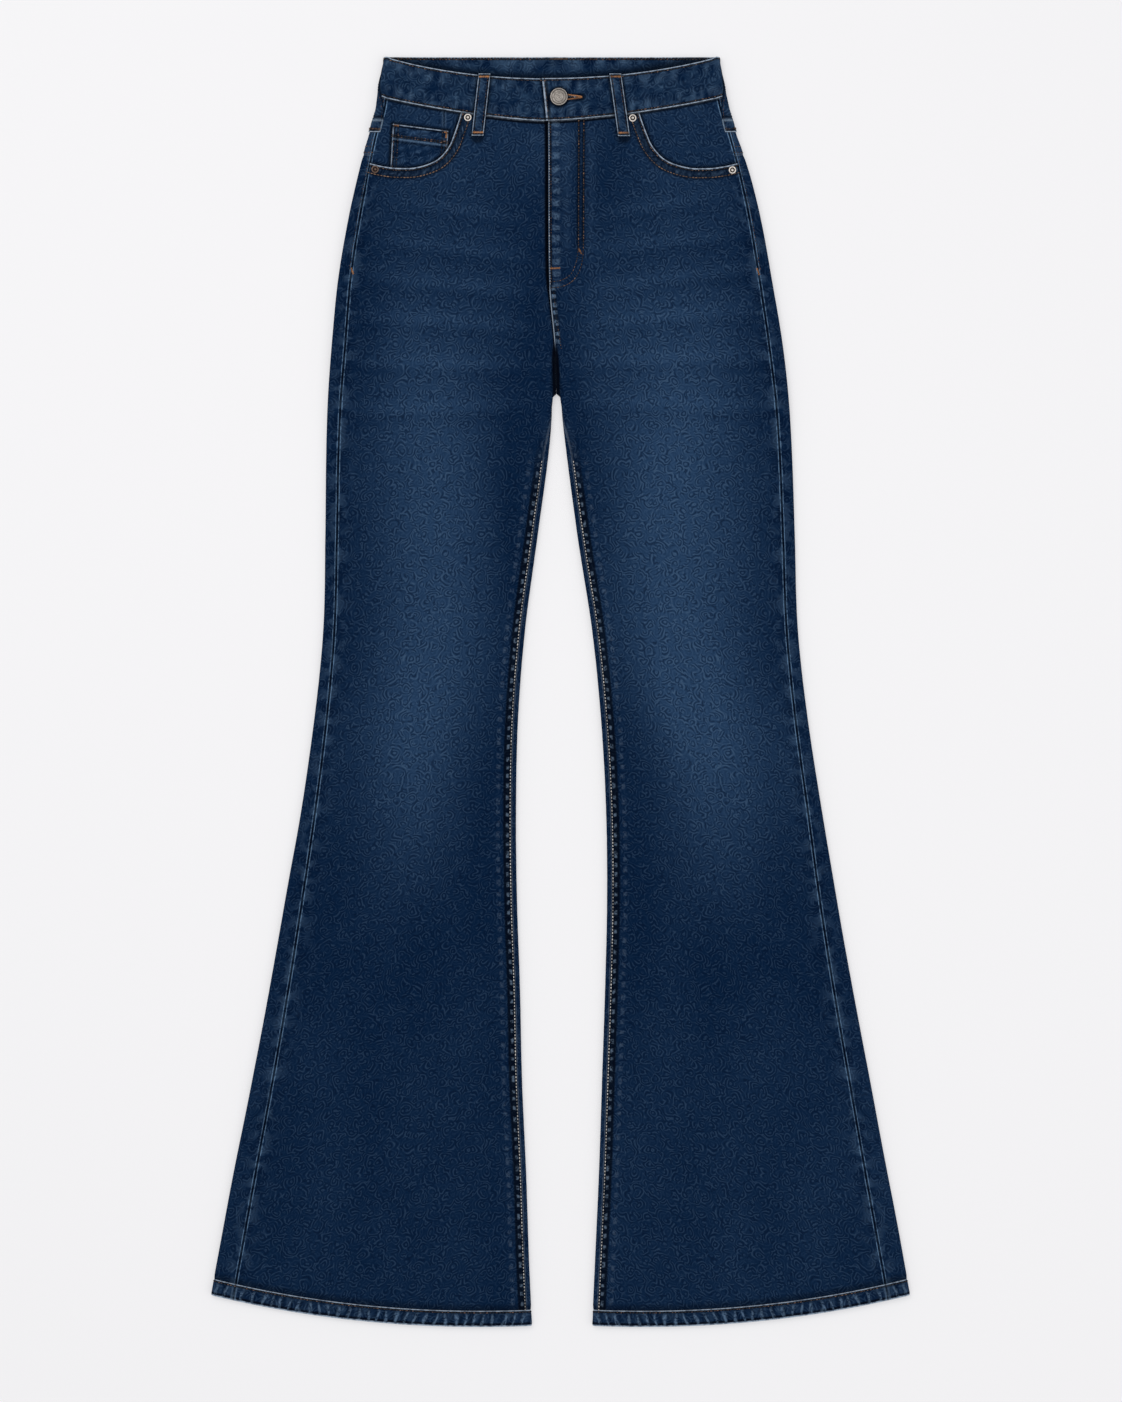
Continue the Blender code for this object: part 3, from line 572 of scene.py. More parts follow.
@dataclass
class Cloth:
    """A grid of places on the cloth, row by row from its upper edge, with what its finish reads.

    Attributes:
        points, out: outer places and outward directions, as (rows, columns, 3).
        across, down: where each place is on the cut cloth, in metres.
        thickness: of the wall.
        fade: 0 where the indigo is dark to 1 where it is worn pale, with some painted highlight and shade.
        ring: whether the last column joins the first.
        shadow, wear: how much darker than its finish, or rubbed to the white core, each place is.
        exact_top: whether distances from the upper edge are measured to its nearest point.
        far: the distance from the first and last edges that a ring doesn't have.
    """

    points: Array
    out: Array
    across: Array
    down: Array
    thickness: float
    fade: Array | float
    ring: bool = False
    shadow: Array | float = 0.0
    wear: Array | float = 0.0
    exact_top: bool = False
    far: float = 10.0

    @classmethod
    def laid(
        cls, side: Side, down: Array, along: Array, fade: Array | float, lift: Array | float = 0.0,
        thickness: float = PATTERN.cloth, across: Array | None = None, **more: bool,
    ) -> "Cloth":
        """Cloth on the garment's face, moved out by lift.

        Args:
            side: the wearer's side.
            down: places down the garment.
            along: places along the cloth.
            fade: how worn pale it is.
            lift: how far it stands over the face.
            thickness: of the wall.
            across: places across the cut cloth.
            more: ring and exact_top.

        Returns:
            The cloth.
        """
        points, out = PATTERN.place(side, down, along, lift), PATTERN.out(side, down, along)
        across = np.broadcast_to(along if across is None else across, down.shape)
        return cls(points, out, across, down, thickness, fade, **more)

    def distances(self) -> dict[str, Array]:
        """How far each place is from the four edges, along the cloth.

        Returns:
            The distances, by the edge's mark.
        """
        steps_across = np.linalg.norm(np.diff(self.points, axis=1), axis=-1)
        steps_down = np.linalg.norm(np.diff(self.points, axis=0), axis=-1)
        across = np.concatenate([np.zeros((len(self.points), 1)), np.cumsum(steps_across, axis=1)], 1)
        down = np.concatenate([np.zeros((1, self.points.shape[1])), np.cumsum(steps_down, axis=0)], 0)
        if self.ring:
            nowhere = np.full(self.down.shape, self.far)
            first, last = nowhere, nowhere
        else:
            first, last = across, across[:, -1:] - across
        top = down
        if self.exact_top:
            close = away_from(self.points[0], self.points[:48])
            top = np.concatenate([np.minimum(close, down[:48]), down[48:]])
        return {"first_edge": first, "last_edge": last, "top_edge": top, "foot_edge": down[-1:] - down}

    def flat_area(self) -> float:
        """Area of the outer face as it is laid out, in square metres.

        Returns:
            The area.
        """
        p = self.points
        a, b = p[1:, 1:] - p[:-1, :-1], p[1:, :-1] - p[:-1, 1:]
        return float(np.linalg.norm(np.cross(a, b), axis=-1).sum() / 2)

    def flat_size(self) -> tuple[float, float]:
        """(width, length) of the rectangle that the piece is cut from.

        Returns:
            The width and the length.
        """
        marks = self.distances()
        closing = np.linalg.norm(self.points[:, -1] - self.points[:, 0], axis=-1) if self.ring else 0.0
        steps = np.linalg.norm(np.diff(self.points, axis=1), axis=-1).sum(axis=1)
        return float((steps + closing).max()), float(marks["top_edge"][-1].max())

    def relieved(self, relief: Array, edge_roll: float = 0.0, roll_over: float = 0.0016) -> "Cloth":
        """The same cloth with its face moved out by relief, and its edges rolled in.

        Args:
            relief: how far each place is raised.
            edge_roll: how far the edges drop.
            roll_over: how wide the drop is.

        Returns:
            The new cloth.
        """
        marks = self.distances()
        nearest = np.minimum.reduce(list(marks.values()))
        height = relief - edge_roll * fall(nearest, 0.0, roll_over) ** 2
        return replace(self, points=self.points + self.out * height[..., None])

    def shaded(
        self, shadow: Array | float = 0.0, fade: Array | float = 0.0, wear: Array | float = 0.0
    ) -> "Cloth":
        """The same cloth with more shadow and wear, and with fade added.

        Args:
            shadow: the least shadow.
            fade: added to the fade.
            wear: the least wear.

        Returns:
            The new cloth.
        """
        return replace(
            self, shadow=np.clip(np.maximum(self.shadow, shadow), 0, 1),
            fade=np.clip(self.fade + fade, 0, 1), wear=np.clip(np.maximum(self.wear, wear), 0, 1),
        )


def away_from(line: Array, points: Array) -> Array:
    """Distance of each point from a line of points, all of them seen from above.

    Args:
        line: points of the line.
        points: the places.

    Returns:
        The distances.
    """
    a, b = line[:-1, :2], line[1:, :2]
    way = b - a
    long = np.maximum((way**2).sum(-1), 1e-12)
    flat = points[..., :2].reshape(-1, 2)
    nearest = np.full(len(flat), np.inf)
    for start, step, size in zip(a, way, long):
        t = np.clip(((flat - start) @ step) / size, 0, 1)
        nearest = np.minimum(nearest, np.hypot(*(flat - start - t[:, None] * step).T))
    return nearest.reshape(points.shape[:-1])


def wall_faces(rows: int, columns: int, ring: bool) -> Array:
    """Corners of the quads of a closed wall whose outer grid comes first and inner grid second.

    Args:
        rows: how many rows the grid has.
        columns: how many columns.
        ring: whether the last column joins the first.

    Returns:
        Four corners of each face.
    """
    count = rows * columns
    outer = np.arange(count).reshape(rows, columns)
    inner = outer + count
    around = np.arange(columns if ring else columns - 1)
    after = (around + 1) % columns
    here, below = outer[:-1][:, around], outer[1:][:, around]
    right, low = outer[:-1][:, after], outer[1:][:, after]
    quads = [np.stack([here, right, low, below], -1).reshape(-1, 4)]
    quads.append(np.stack([here, below, low, right], -1).reshape(-1, 4) + count)
    quads.append(np.stack([outer[0][after], outer[0][around], inner[0][around], inner[0][after]], -1))
    quads.append(np.stack([outer[-1][around], outer[-1][after], inner[-1][after], inner[-1][around]], -1))
    if not ring:
        up, dn = np.arange(rows - 1), np.arange(1, rows)
        quads.append(np.stack([outer[up, 0], outer[dn, 0], inner[dn, 0], inner[up, 0]], -1))
        quads.append(np.stack([outer[dn, -1], outer[up, -1], inner[up, -1], inner[dn, -1]], -1))
    return np.concatenate(quads)


def mesh_of(name: str, points: Array, faces: Array, sharp: float = 50.0) -> bpy.types.Mesh:
    """A smooth mesh from points and quads, with edges over sharp degrees kept crisp.

    Args:
        name: the object's name.
        points: the places.
        faces: four corners of each face.
        sharp: in degrees.

    Returns:
        The mesh.
    """
    mesh = bpy.data.meshes.new(name)
    mesh.vertices.add(len(points))
    mesh.vertices.foreach_set("co", np.ascontiguousarray(points, np.float32).ravel())
    mesh.loops.add(faces.size)
    mesh.loops.foreach_set("vertex_index", faces.ravel().astype(np.int32))
    mesh.polygons.add(len(faces))
    mesh.polygons.foreach_set("loop_start", np.arange(len(faces), dtype=np.int32) * 4)
    mesh.update(calc_edges=True)
    mesh.validate()
    mesh.shade_smooth()
    mesh.set_sharp_from_angle(angle=math.radians(sharp))
    return mesh


def link(name: str, mesh: bpy.types.Mesh, material: bpy.types.Material) -> bpy.types.Object:
    """The mesh as an object at the origin, with its material.

    Args:
        name: the object's name.
        mesh: the mesh.
        material: its material.

    Returns:
        The object.
    """
    placed = bpy.data.objects.new(name, mesh)
    mesh.materials.clear()
    mesh.materials.append(material)
    bpy.context.scene.collection.objects.link(placed)
    return placed


def shell(name: str, cloth: Cloth, material: bpy.types.Material) -> bpy.types.Object:
    """A closed thin wall of cloth, with the places and masks that its finish reads.

    Args:
        name: the object's name.
        cloth: the cloth.
        material: its material.

    Returns:
        The object.
    """
    rows, columns = cloth.down.shape
    faces = wall_faces(rows, columns, cloth.ring)
    outer = cloth.points.reshape(-1, 3)
    inner = outer - cloth.out.reshape(-1, 3) * cloth.thickness
    points = np.concatenate([outer, inner])
    corners = points[faces[: (rows - 1) * (columns - 1)]]
    facing = np.cross(corners[:, 1] - corners[:, 0], corners[:, 3] - corners[:, 0])
    if (facing * cloth.out.reshape(-1, 3)[faces[: len(corners), 0]]).sum() < 0:
        faces = faces[:, ::-1]
    mesh = mesh_of(name, points, faces)
    marks = {**cloth.distances(), "fade": cloth.fade, "shadow": cloth.shadow, "wear": cloth.wear}
    for mark, values in marks.items():
        layer = mesh.attributes.new(mark, "FLOAT", "POINT")
        both_faces = np.broadcast_to(values, (2, rows, columns))
        layer.data.foreach_set("value", both_faces.astype(np.float32).ravel())
    layer = mesh.attributes.new("inner_face", "FLOAT", "POINT")
    layer.data.foreach_set("value", np.repeat([0.0, 1.0], rows * columns).astype(np.float32))
    flat = np.tile(np.stack([cloth.across.ravel(), cloth.down.ravel()], -1), (2, 1))
    corner_of = np.empty(len(mesh.loops), np.int32)
    mesh.loops.foreach_get("vertex_index", corner_of)
    mesh.uv_layers.new(name="cloth").data.foreach_set("uv", flat[corner_of].astype(np.float32).ravel())
    return link(name, mesh, material)


def finer(steps: Sequence[int]) -> Array:
    """Places from 0 to the number of intervals, each interval cut in its own number of steps."""
    places = [i + j / n for i, n in enumerate(steps) for j in range(n)]
    return np.array(places + [float(len(steps))])


def blend_columns(table: Sequence[Sequence[float]], places: Array) -> list[Array]:
    """Each column of a table, read at places between its rows."""
    rows = np.array(table, float)
    return [np.interp(places, np.arange(len(rows)), rows[:, i]) for i in range(rows.shape[1])]


@dataclass(frozen=True)
class Crease:
    """A soft crease from one place to another, in millimetres across and down the garment.

    height is over the face, or into it where it is below 0. half is its half width.
    """

    x0: float
    down0: float
    x1: float
    down1: float
    height: float
    half: float

    def __call__(self, x: Array, down: Array) -> Array:
        """Relief in metres at each place.

        Args:
            x: places across the garment.
            down: places down the garment.

        Returns:
            The height at each place.
        """
        a, b = np.array([self.x0, self.down0]) * MM, np.array([self.x1, self.down1]) * MM
        way = b - a
        t = ((x - a[0]) * way[0] + (down - a[1]) * way[1]) / (way @ way)
        within = np.clip(t, 0, 1)
        off = np.hypot(x - a[0] - within * way[0], down - a[1] - within * way[1])
        swell = np.sin(np.pi * (0.12 + 0.76 * within))
        return self.height * MM * fall(off, 0.0, self.half * MM) * swell


# Placed one by one: whiskers from the crotch, soft breaks at hip, thigh and knee, and slack over the calf.
FRONT_CREASES = (
    Crease(-40, 144, -150, 128, 0.35, 8), Crease(-36, 178, -165, 162, 0.45, 9),
    Crease(-34, 210, -172, 196, 0.50, 9), Crease(-30, 242, -180, 231, 0.50, 10),
    Crease(-28, 277, -186, 272, 0.50, 11), Crease(-26, 312, -188, 317, 0.45, 11),
    Crease(38, 140, 142, 124, 0.35, 8), Crease(34, 172, 160, 158, 0.45, 9),
    Crease(30, 206, 170, 190, 0.50, 9), Crease(28, 238, 178, 226, 0.50, 10),
    Crease(26, 272, 184, 268, 0.50, 11), Crease(24, 309, 186, 313, 0.45, 11),
    Crease(-150, 400, -90, 470, 0.35, 16), Crease(140, 420, 95, 500, 0.35, 16),
    Crease(-170, 560, -80, 590, 0.45, 13), Crease(-180, 640, -90, 625, 0.50, 14),
    Crease(165, 575, 85, 600, 0.45, 13), Crease(190, 650, 95, 640, 0.50, 14),
    Crease(-200, 720, -110, 700, 0.35, 13), Crease(205, 735, 120, 712, 0.35, 13),
    Crease(-150, 780, -175, 1010, 0.45, 20), Crease(-90, 860, -105, 1060, 0.40, 18),
    Crease(-230, 880, -250, 1050, 0.40, 16), Crease(150, 800, 172, 1000, 0.45, 20),
    Crease(88, 850, 100, 1070, 0.40, 18), Crease(232, 870, 256, 1060, 0.40, 16),
)
BACK_CREASES = (
    Crease(-25, 300, -150, 330, 0.45, 10), Crease(-30, 330, -165, 352, 0.50, 11),
    Crease(24, 298, 145, 335, 0.45, 10), Crease(28, 334, 160, 348, 0.50, 11),
    Crease(-180, 600, -80, 575, 0.45, 12), Crease(-190, 640, -85, 655, 0.50, 13),
    Crease(178, 590, 82, 580, 0.45, 12), Crease(192, 648, 88, 660, 0.50, 13),
    Crease(-175, 690, -95, 712, 0.35, 12), Crease(186, 700, 98, 708, 0.35, 12),
    Crease(-150, 800, -180, 1020, 0.40, 19), Crease(154, 810, 178, 1010, 0.40, 19),
)


def panel_fade(x: Array, down: Array, front: bool) -> Array:
    """How pale the legs are: down the middle of each thigh and knee, with whiskers at the hips.

    Args:
        x: places across the garment.
        down: places down the garment.
        front: whether it is on the front.

    Returns:
        0 where the indigo is dark to 1 where it is pale; painted shade round the crotch lowers it.
    """
    low = ease(down, 0.50, 0.66)
    left = x > 0
    middle = np.where(left, 0.1015 + 0.034 * low, 0.1155 + 0.018 * low)
    off = np.abs(np.abs(x) - middle)
    inner = np.abs(x) < middle
    spread = np.where(left, np.where(inner, 0.056, 0.063), np.where(inner, 0.051, 0.050))
    spread = spread - np.where(inner, np.where(left, 0.017, 0.013), 0.001) * low
    reach = ease(down, 0.16, 0.40) * fall(down, 0.56, 0.84)
    thigh = np.where(left, 1.20, 1.0) * bell(off, 0, spread) * reach
    uneven = Hills(11 if front else 12, 0.09, 2.0)(x, down)
    hips = np.where(left, 0.44, 0.31) * fall(down, 0.20, 0.40) * fall(np.abs(x), 0.125, 0.195)
    creases = FRONT_CREASES[:12] if front else BACK_CREASES[:4]
    lower = [replace(c, down0=c.down0 + 11, down1=c.down1 + 11) for c in creases]
    crests, hollows = (sum(np.maximum(c(x, down), 0) / (0.6 * MM) for c in row) for row in (creases, lower))
    whiskers = crests - 0.6 * hollows
    knees = 0.12 * bump(down, 0.61, 0.12) * bell(off, 0, 0.075)
    amount = (0.86 if front else 0.50) * thigh + hips + knees + 0.27 * whiskers + 0.05 * uneven
    # centre darkens the middle front down past the crotch; round the crotch that is painted shade.
    centre = bell(x, -0.014, 0.040) * ease(down, 0.08, 0.14) * fall(down, 0.40, 0.55)
    shin = np.where(left, 0.13, 0.08) * ease(down, 0.80, 0.92)
    top = bell(x, 0.036, 0.030) * fall(down, 0.10, 0.17)
    amount = amount - 0.32 * centre - 0.20 * top + shin
    return np.clip(amount, 0.0, 1.0)


def panel_relief(x: Array, down: Array, front: bool) -> Array:
    """The soft creases and slack of a leg panel, in metres.

    Args:
        x: places across the garment.
        down: places down the garment.
        front: whether it is on the front.

    Returns:
        The height at each place.
    """
    height = sum(c(x, down) for c in (FRONT_CREASES if front else BACK_CREASES))
    slack = Hills(21 if front else 22, 0.075, 1.6)(x, down) * 0.16 * MM
    return height * (1.0 if front else -0.6) + slack


@dataclass(frozen=True)
class Panels:
    """A leg's front and back panels and its yoke."""

    side: Side
    first: float = 0.150
    row_step: float = 0.0034
    mouth_rows: int = 36
    crowding: float = 1.15
    beside_seam: tuple[float, ...] = (0.0, 0.0070, 0.0140, 0.0220)
    beside_end: tuple[float, ...] = (0.0150, 0.0095, 0.0064, 0.0048, 0.0032, 0.0016, 0.0)
    waist_shares: tuple[float, ...] = (0.495, 0.58, 0.68, 0.79, 0.90, 0.945, 0.970, 1.0)
    yoke_rows: int = 22
    fade_yoke: float = 0.35
    edge_roll: float = 0.45 * MM

    def straight_rows(self) -> Array:
        """down of the rows from below the waist shaping to the hem."""
        last = PATTERN.hem_line - PATTERN.gap
        return np.linspace(self.first, last, int((last - self.first) / self.row_step) + 1)

    def front_columns(self) -> tuple[Array, Array, Array]:
        """(place between the model's columns, share of the way across, offset) of each column.

        Returns:
            The places, the shares and the offsets.
        """
        table = [(0.0, step) for step in self.beside_seam]
        for i in range(1, 6):
            table.append((i / 6, self.beside_seam[-1] * (1 - i / 6) - self.beside_end[0] * i / 6))
        table += [(1.0, -step) for step in self.beside_end]
        places = finer((7, 3, 3, 9, 9, 9, 9, 9, 9, 4, 3, 2, 2, 2, 3))
        share, offset = blend_columns(table, places)
        return places, share, offset

    def front_along(self, down: Array, share: Array, offset: Array) -> Array:
        """Along the cloth of a front panel's columns.

        Args:
            down: places down the garment.
            share: shares of the way across.
            offset: added to each column's place.

        Returns:
            The place along the cloth of each column.
        """
        start = PATTERN.seam_in(down) + PATTERN.gap / 4
        leg = down > PATTERN.crotch
        end = np.where(leg, PATTERN.inseam(self.side, down), PATTERN.front_length(self.side, down))
        return start + (end - PATTERN.gap / 4 - start) * share + offset

    def mouth_top(self, places: Array) -> tuple[Array, Array]:
        """(share across, down) of a front panel's upper edge at places between the model's columns.

        Args:
            places: counted in the model's columns.

        Returns:
            The share across and down of each place.
        """
        mouth = np.array(POCKET_MOUTH[::-1])
        last = len(mouth) - 1
        i = np.clip(np.floor(places).astype(int), 0, last - 1)
        t = np.clip(places - i, 0, 1)[:, None]
        before, here = mouth[np.maximum(i - 1, 0)], mouth[i]
        after, beyond = mouth[i + 1], mouth[np.minimum(i + 2, last)]
        curve = 0.5 * (
            2 * here + (after - before) * t + (2 * before - 5 * here + 4 * after - beyond) * t**2
            + (3 * here - before - 3 * after + beyond) * t**3
        )
        waist = np.interp(places, last + np.arange(len(self.waist_shares)), self.waist_shares)
        on_mouth = places < last
        seam = PATTERN.waist_seam(waist) + PATTERN.gap / 2
        return np.where(on_mouth, curve[:, 0], waist), np.where(on_mouth, curve[:, 1] * MM, seam)

    def front(self) -> Cloth:
        """A front panel with its pocket mouth cut away at the top.

        Returns:
            The panel.
        """
        places, share, offset = self.front_columns()
        side = self.side
        first_along = self.front_along(np.full(len(places), self.first), share, offset)
        first_share = PATTERN.inward(side, self.first, first_along) / PATTERN.width(side, self.first)
        top_share, top_down = self.mouth_top(places)
        blend = steps_down(self.mouth_rows + 1)[:-1] ** self.crowding
        down = top_down + (self.first - top_down) * blend
        along = PATTERN.along_at(side, down, top_share + (first_share - top_share) * blend)
        along[:, 0] = PATTERN.seam_in(down[:, 0]) + PATTERN.gap / 4
        along[:, -1] = PATTERN.front_length(side, down[:, -1]) - PATTERN.gap / 4
        straight = np.repeat(self.straight_rows()[:, None], len(places), 1)
        low = PATTERN.bowed(side, straight, self.front_along(straight, share, offset))
        down = np.concatenate([down, low])
        along = np.concatenate([along, self.front_along(low, share, offset)])
        return self.finished(down, along, PATTERN.front_rise(side, down, along), True)

    def finished(self, down: Array, along: Array, lift: Array | float, front: bool) -> Cloth:
        """The panel with its fade, painted shade, creases and rolled edges.

        Args:
            down: places down the garment.
            along: places along the cloth.
            lift: how far it stands over the face.
            front: whether it is on the front.

        Returns:
            The panel.
        """
        cloth = Cloth.laid(self.side, down, along, 0.0, lift, exact_top=front)
        x, marks = cloth.points[..., 0], cloth.distances()
        cloth = replace(cloth, fade=panel_fade(x, down, front))
        first, last, foot = marks["first_edge"], marks["last_edge"], marks["foot_edge"]
        calm = ease(np.minimum(marks["top_edge"], foot), 0.002, 0.03)
        seams = ease(np.minimum(first, last), 0.002, 0.02)
        beside_hip = Hills(31, 0.015)(first * 40, down) * np.exp(-first / 0.007)
        beside_in = Hills(32, 0.0095)(down * 0, down) * np.exp(-last / 0.006)
        pucker = (beside_hip * 0.22 + beside_in * 0.16) * MM
        # Side seam puckers: painted shade in hollows; paler crests are partly wear, partly painted
        # highlight.
        cloth = cloth.shaded(np.maximum(-beside_hip, 0) * 0.25, 0.22 * np.maximum(beside_hip, 0))
        # Painted shadow on the leg just above the hem.
        cloth = cloth.shaded(0.62 * fall(foot, 0.0012, 0.0070))
        if front:
            cloth = self.fly_wear(self.seam_wear(cloth))
        return cloth.relieved(panel_relief(x, down, front) * calm * seams + pucker * calm, self.edge_roll)

    def seam_wear(self, cloth: Cloth) -> Cloth:
        """Painted shade and worn spots by a front's pocket mouth; painted shadow under the band and beside
        loops.

        Args:
            cloth: the cloth.

        Returns:
            The worn cloth.
        """
        mouth = away_from(cloth.points[0, :MOUTH_COLUMNS], cloth.points)
        strip = ease(mouth, 0.0012, 0.0030) * fall(mouth, 0.0088, 0.0112)
        uneven = 0.05 + 0.60 * Hills(35, 0.0042)(cloth.points[..., 0], cloth.down)
        spots = np.maximum(bump(mouth, 0.0058, 0.0030) * uneven, 0)
        cloth = cloth.shaded(0.56 * strip * (1 - spots) + 0.25 * bump(mouth, 0.0092, 0.0022), 0.0, spots)
        under_band = away_from(cloth.points[0, MOUTH_COLUMNS:], cloth.points)
        cloth = cloth.shaded(0.95 * fall(under_band, 0.0009, 0.0032))
        for ends in LOOP_PLACES:
            cloth = cloth.shaded(0.75 * fall(away_from(seen_above(ends), cloth.points), 0.0050, 0.0085))
        return cloth

    def fly_wear(self, cloth: Cloth) -> Cloth:
        """Fly's wear and painted shade: puckers along its edge, pale ridges by its stitching, or its shadow.

        Args:
            cloth: the cloth.

        Returns:
            The worn cloth.
        """
        x, down = cloth.points[..., 0], cloth.down
        from_centre = np.abs(x - PATTERN.centre_front(down))
        top = PATTERN.slit_top
        half = 0.0018 + 0.0012 * ease(down, top, 0.275)
        slit = ease(down, top - 0.003, top + 0.006) * (down < PATTERN.crotch + 0.004)
        # Painted shadow in the slit between the legs.
        cloth = cloth.shaded(slit * fall(from_centre, half - 0.0004, half + 0.0013))
        above = fall(down, 0.200, 0.212)
        # The panel below takes the lapping fly's painted shadow beside its centre edge.
        if self.side is Side.RIGHT:
            return cloth.shaded(0.9 * above * fall(from_centre, 0.0004, 0.0034))
        steps = np.sin(FULL_TURN * down / 0.0125 + 1.3 * Hills(33, 0.06)(down * 0, down))
        beads = above * bell(from_centre, 0.0068, 0.0040) * (0.35 + 0.55 * steps)
        hem = ease(down, 0.058, 0.066) * fall(down, 0.165, 0.195)
        ridge = 0.42 * bell(x, 0.0055, 0.0034) + 0.30 * bell(x, 0.0270, 0.0042)
        ridge = ridge * (0.75 + 0.5 * Hills(34, 0.02)(down, down)) * hem
        # ditch: painted shade between the ridges; hollow: painted shade between the puckers.
        ditch = 0.45 * bell(x, 0.0185, 0.0042) * hem
        low = ease(down, 0.212, 0.222) * fall(down, 0.262, 0.275)
        knots = low * bell(from_centre, 0.0030, 0.0030) * (0.3 + 0.6 * np.sin(FULL_TURN * down / 0.0105))
        crest, hollow = np.maximum(beads, 0), np.maximum(-beads, 0)
        rim = 0.75 * above * fall(from_centre, 0.0003, 0.0013)
        pale = 0.10 * crest + 0.12 * ridge + 0.06 * np.maximum(knots, 0)
        fade = 0.4 * crest + 0.7 * ridge - 0.12 * above
        return cloth.shaded(np.maximum(0.7 * ditch, 0.4 * hollow), fade, np.maximum(pale, rim))

    def back_columns(self) -> list[Array]:
        """Parts of the seam, of the flat's end, of the inseam or centre, and an offset, for each column.

        Returns:
            The four parts, one array each.
        """
        quarter = PATTERN.quarter
        table = [(1.0, 0.0, 0.0, 0.0), (0.5, 0.0, 0.0, quarter / 2)]
        table += [(0.0, 0.0, 0.0, quarter * (1 - i / 3)) for i in range(7)]
        table += [(0.0, i / 4, 0.0, -quarter * (1 - i / 4)) for i in range(1, 5)]
        full = 2 * quarter + PATTERN.inseam_in - PATTERN.gap
        turn = [2 * quarter * i / 6 / full for i in range(1, 7)] + [1.0]
        table += [(0.0, 1 - part, part, 0.0) for part in turn]
        places = finer((5, 4) + (2,) * 6 + (15,) * 4 + (2,) * 6 + (5,))
        return blend_columns(table, places)

    def back_along(self, down: Array, columns: list[Array]) -> Array:
        """Along the cloth of a back panel's or yoke's columns.

        Args:
            down: places down the garment.
            columns: what back_columns gives.

        Returns:
            The place along the cloth of each column.
        """
        side, gap = self.side, PATTERN.gap
        seam = PATTERN.seam_in(down) - gap / 4
        leg = down > PATTERN.crotch
        length = PATTERN.front_length(side, down)
        centre = PATTERN.radius - PATTERN.quarter - PATTERN.width(side, down, False) + gap / 4
        flat_end = np.where(leg, PATTERN.quarter - length, centre + PATTERN.inseam_in)
        end = np.where(leg, PATTERN.inseam(side, down) - 2 * length + gap / 4, centre)
        a, b, c, offset = columns
        return a * seam + b * flat_end + c * end + offset

    def between(self, top: Callable, low: Callable, rows: int, last: bool) -> Array:
        """down of the rows between two edges of the back, each given by the place along the cloth.

        Args:
            top: gives down of the upper edge.
            low: gives down of the lower edge.
            rows: how many.
            last: whether the lower edge has a row.

        Returns:
            down at each place of the rows.
        """
        columns = self.back_columns()
        guess = self.back_along(np.full(len(columns[0]), PATTERN.yoke_side), columns)
        blend = np.linspace(0, 1, rows)[: None if last else -1, None]
        return top(guess) + (low(guess) - top(guess)) * blend

    def back(self) -> Cloth:
        """A back panel, round both folds of its leg to the seams on the front.

        Returns:
            The panel.
        """
        columns = self.back_columns()

        def top(along: Array) -> Array:
            """down of the upper edge, at the yoke."""
            return PATTERN.yoke_seam(self.side, along) + PATTERN.gap / 2

        def first_row(along: Array) -> Array:
            """down of the first straight row."""
            return np.full(along.shape, self.first)

        down = self.between(top, first_row, 15, False)
        straight = np.repeat(self.straight_rows()[:, None], len(columns[0]), 1)
        low = PATTERN.bowed(self.side, straight, self.back_along(straight, columns))
        down = np.concatenate([down, low])
        along = self.back_along(down, columns)
        return self.finished(down, along, 0.0, False)

    def yoke(self) -> Cloth:
        """A back yoke, round the side fold to the side seam.

        Returns:
            The yoke.
        """

        def top(along: Array) -> Array:
            """down of the upper edge, at the waistband.

            Args:
                along: places along the cloth.

            Returns:
                down at each place.
            """
            share = (along - PATTERN.quarter + PATTERN.radius) / PATTERN.width(self.side, PATTERN.yoke_side)
            front = PATTERN.waist_seam(np.maximum(share, 0.0))
            return np.where(along > 0, front, PATTERN.band_height) + PATTERN.gap / 2

        def low(along: Array) -> Array:
            """down of the lower edge."""
            return PATTERN.yoke_seam(self.side, along) - PATTERN.gap / 2

        down = self.between(top, low, self.yoke_rows, True)
        along = self.back_along(down, self.back_columns())
        cloth = Cloth.laid(self.side, down, along, self.fade_yoke)
        return cloth.relieved(Hills(41, 0.02)(along, down) * 0.12 * MM, self.edge_roll)


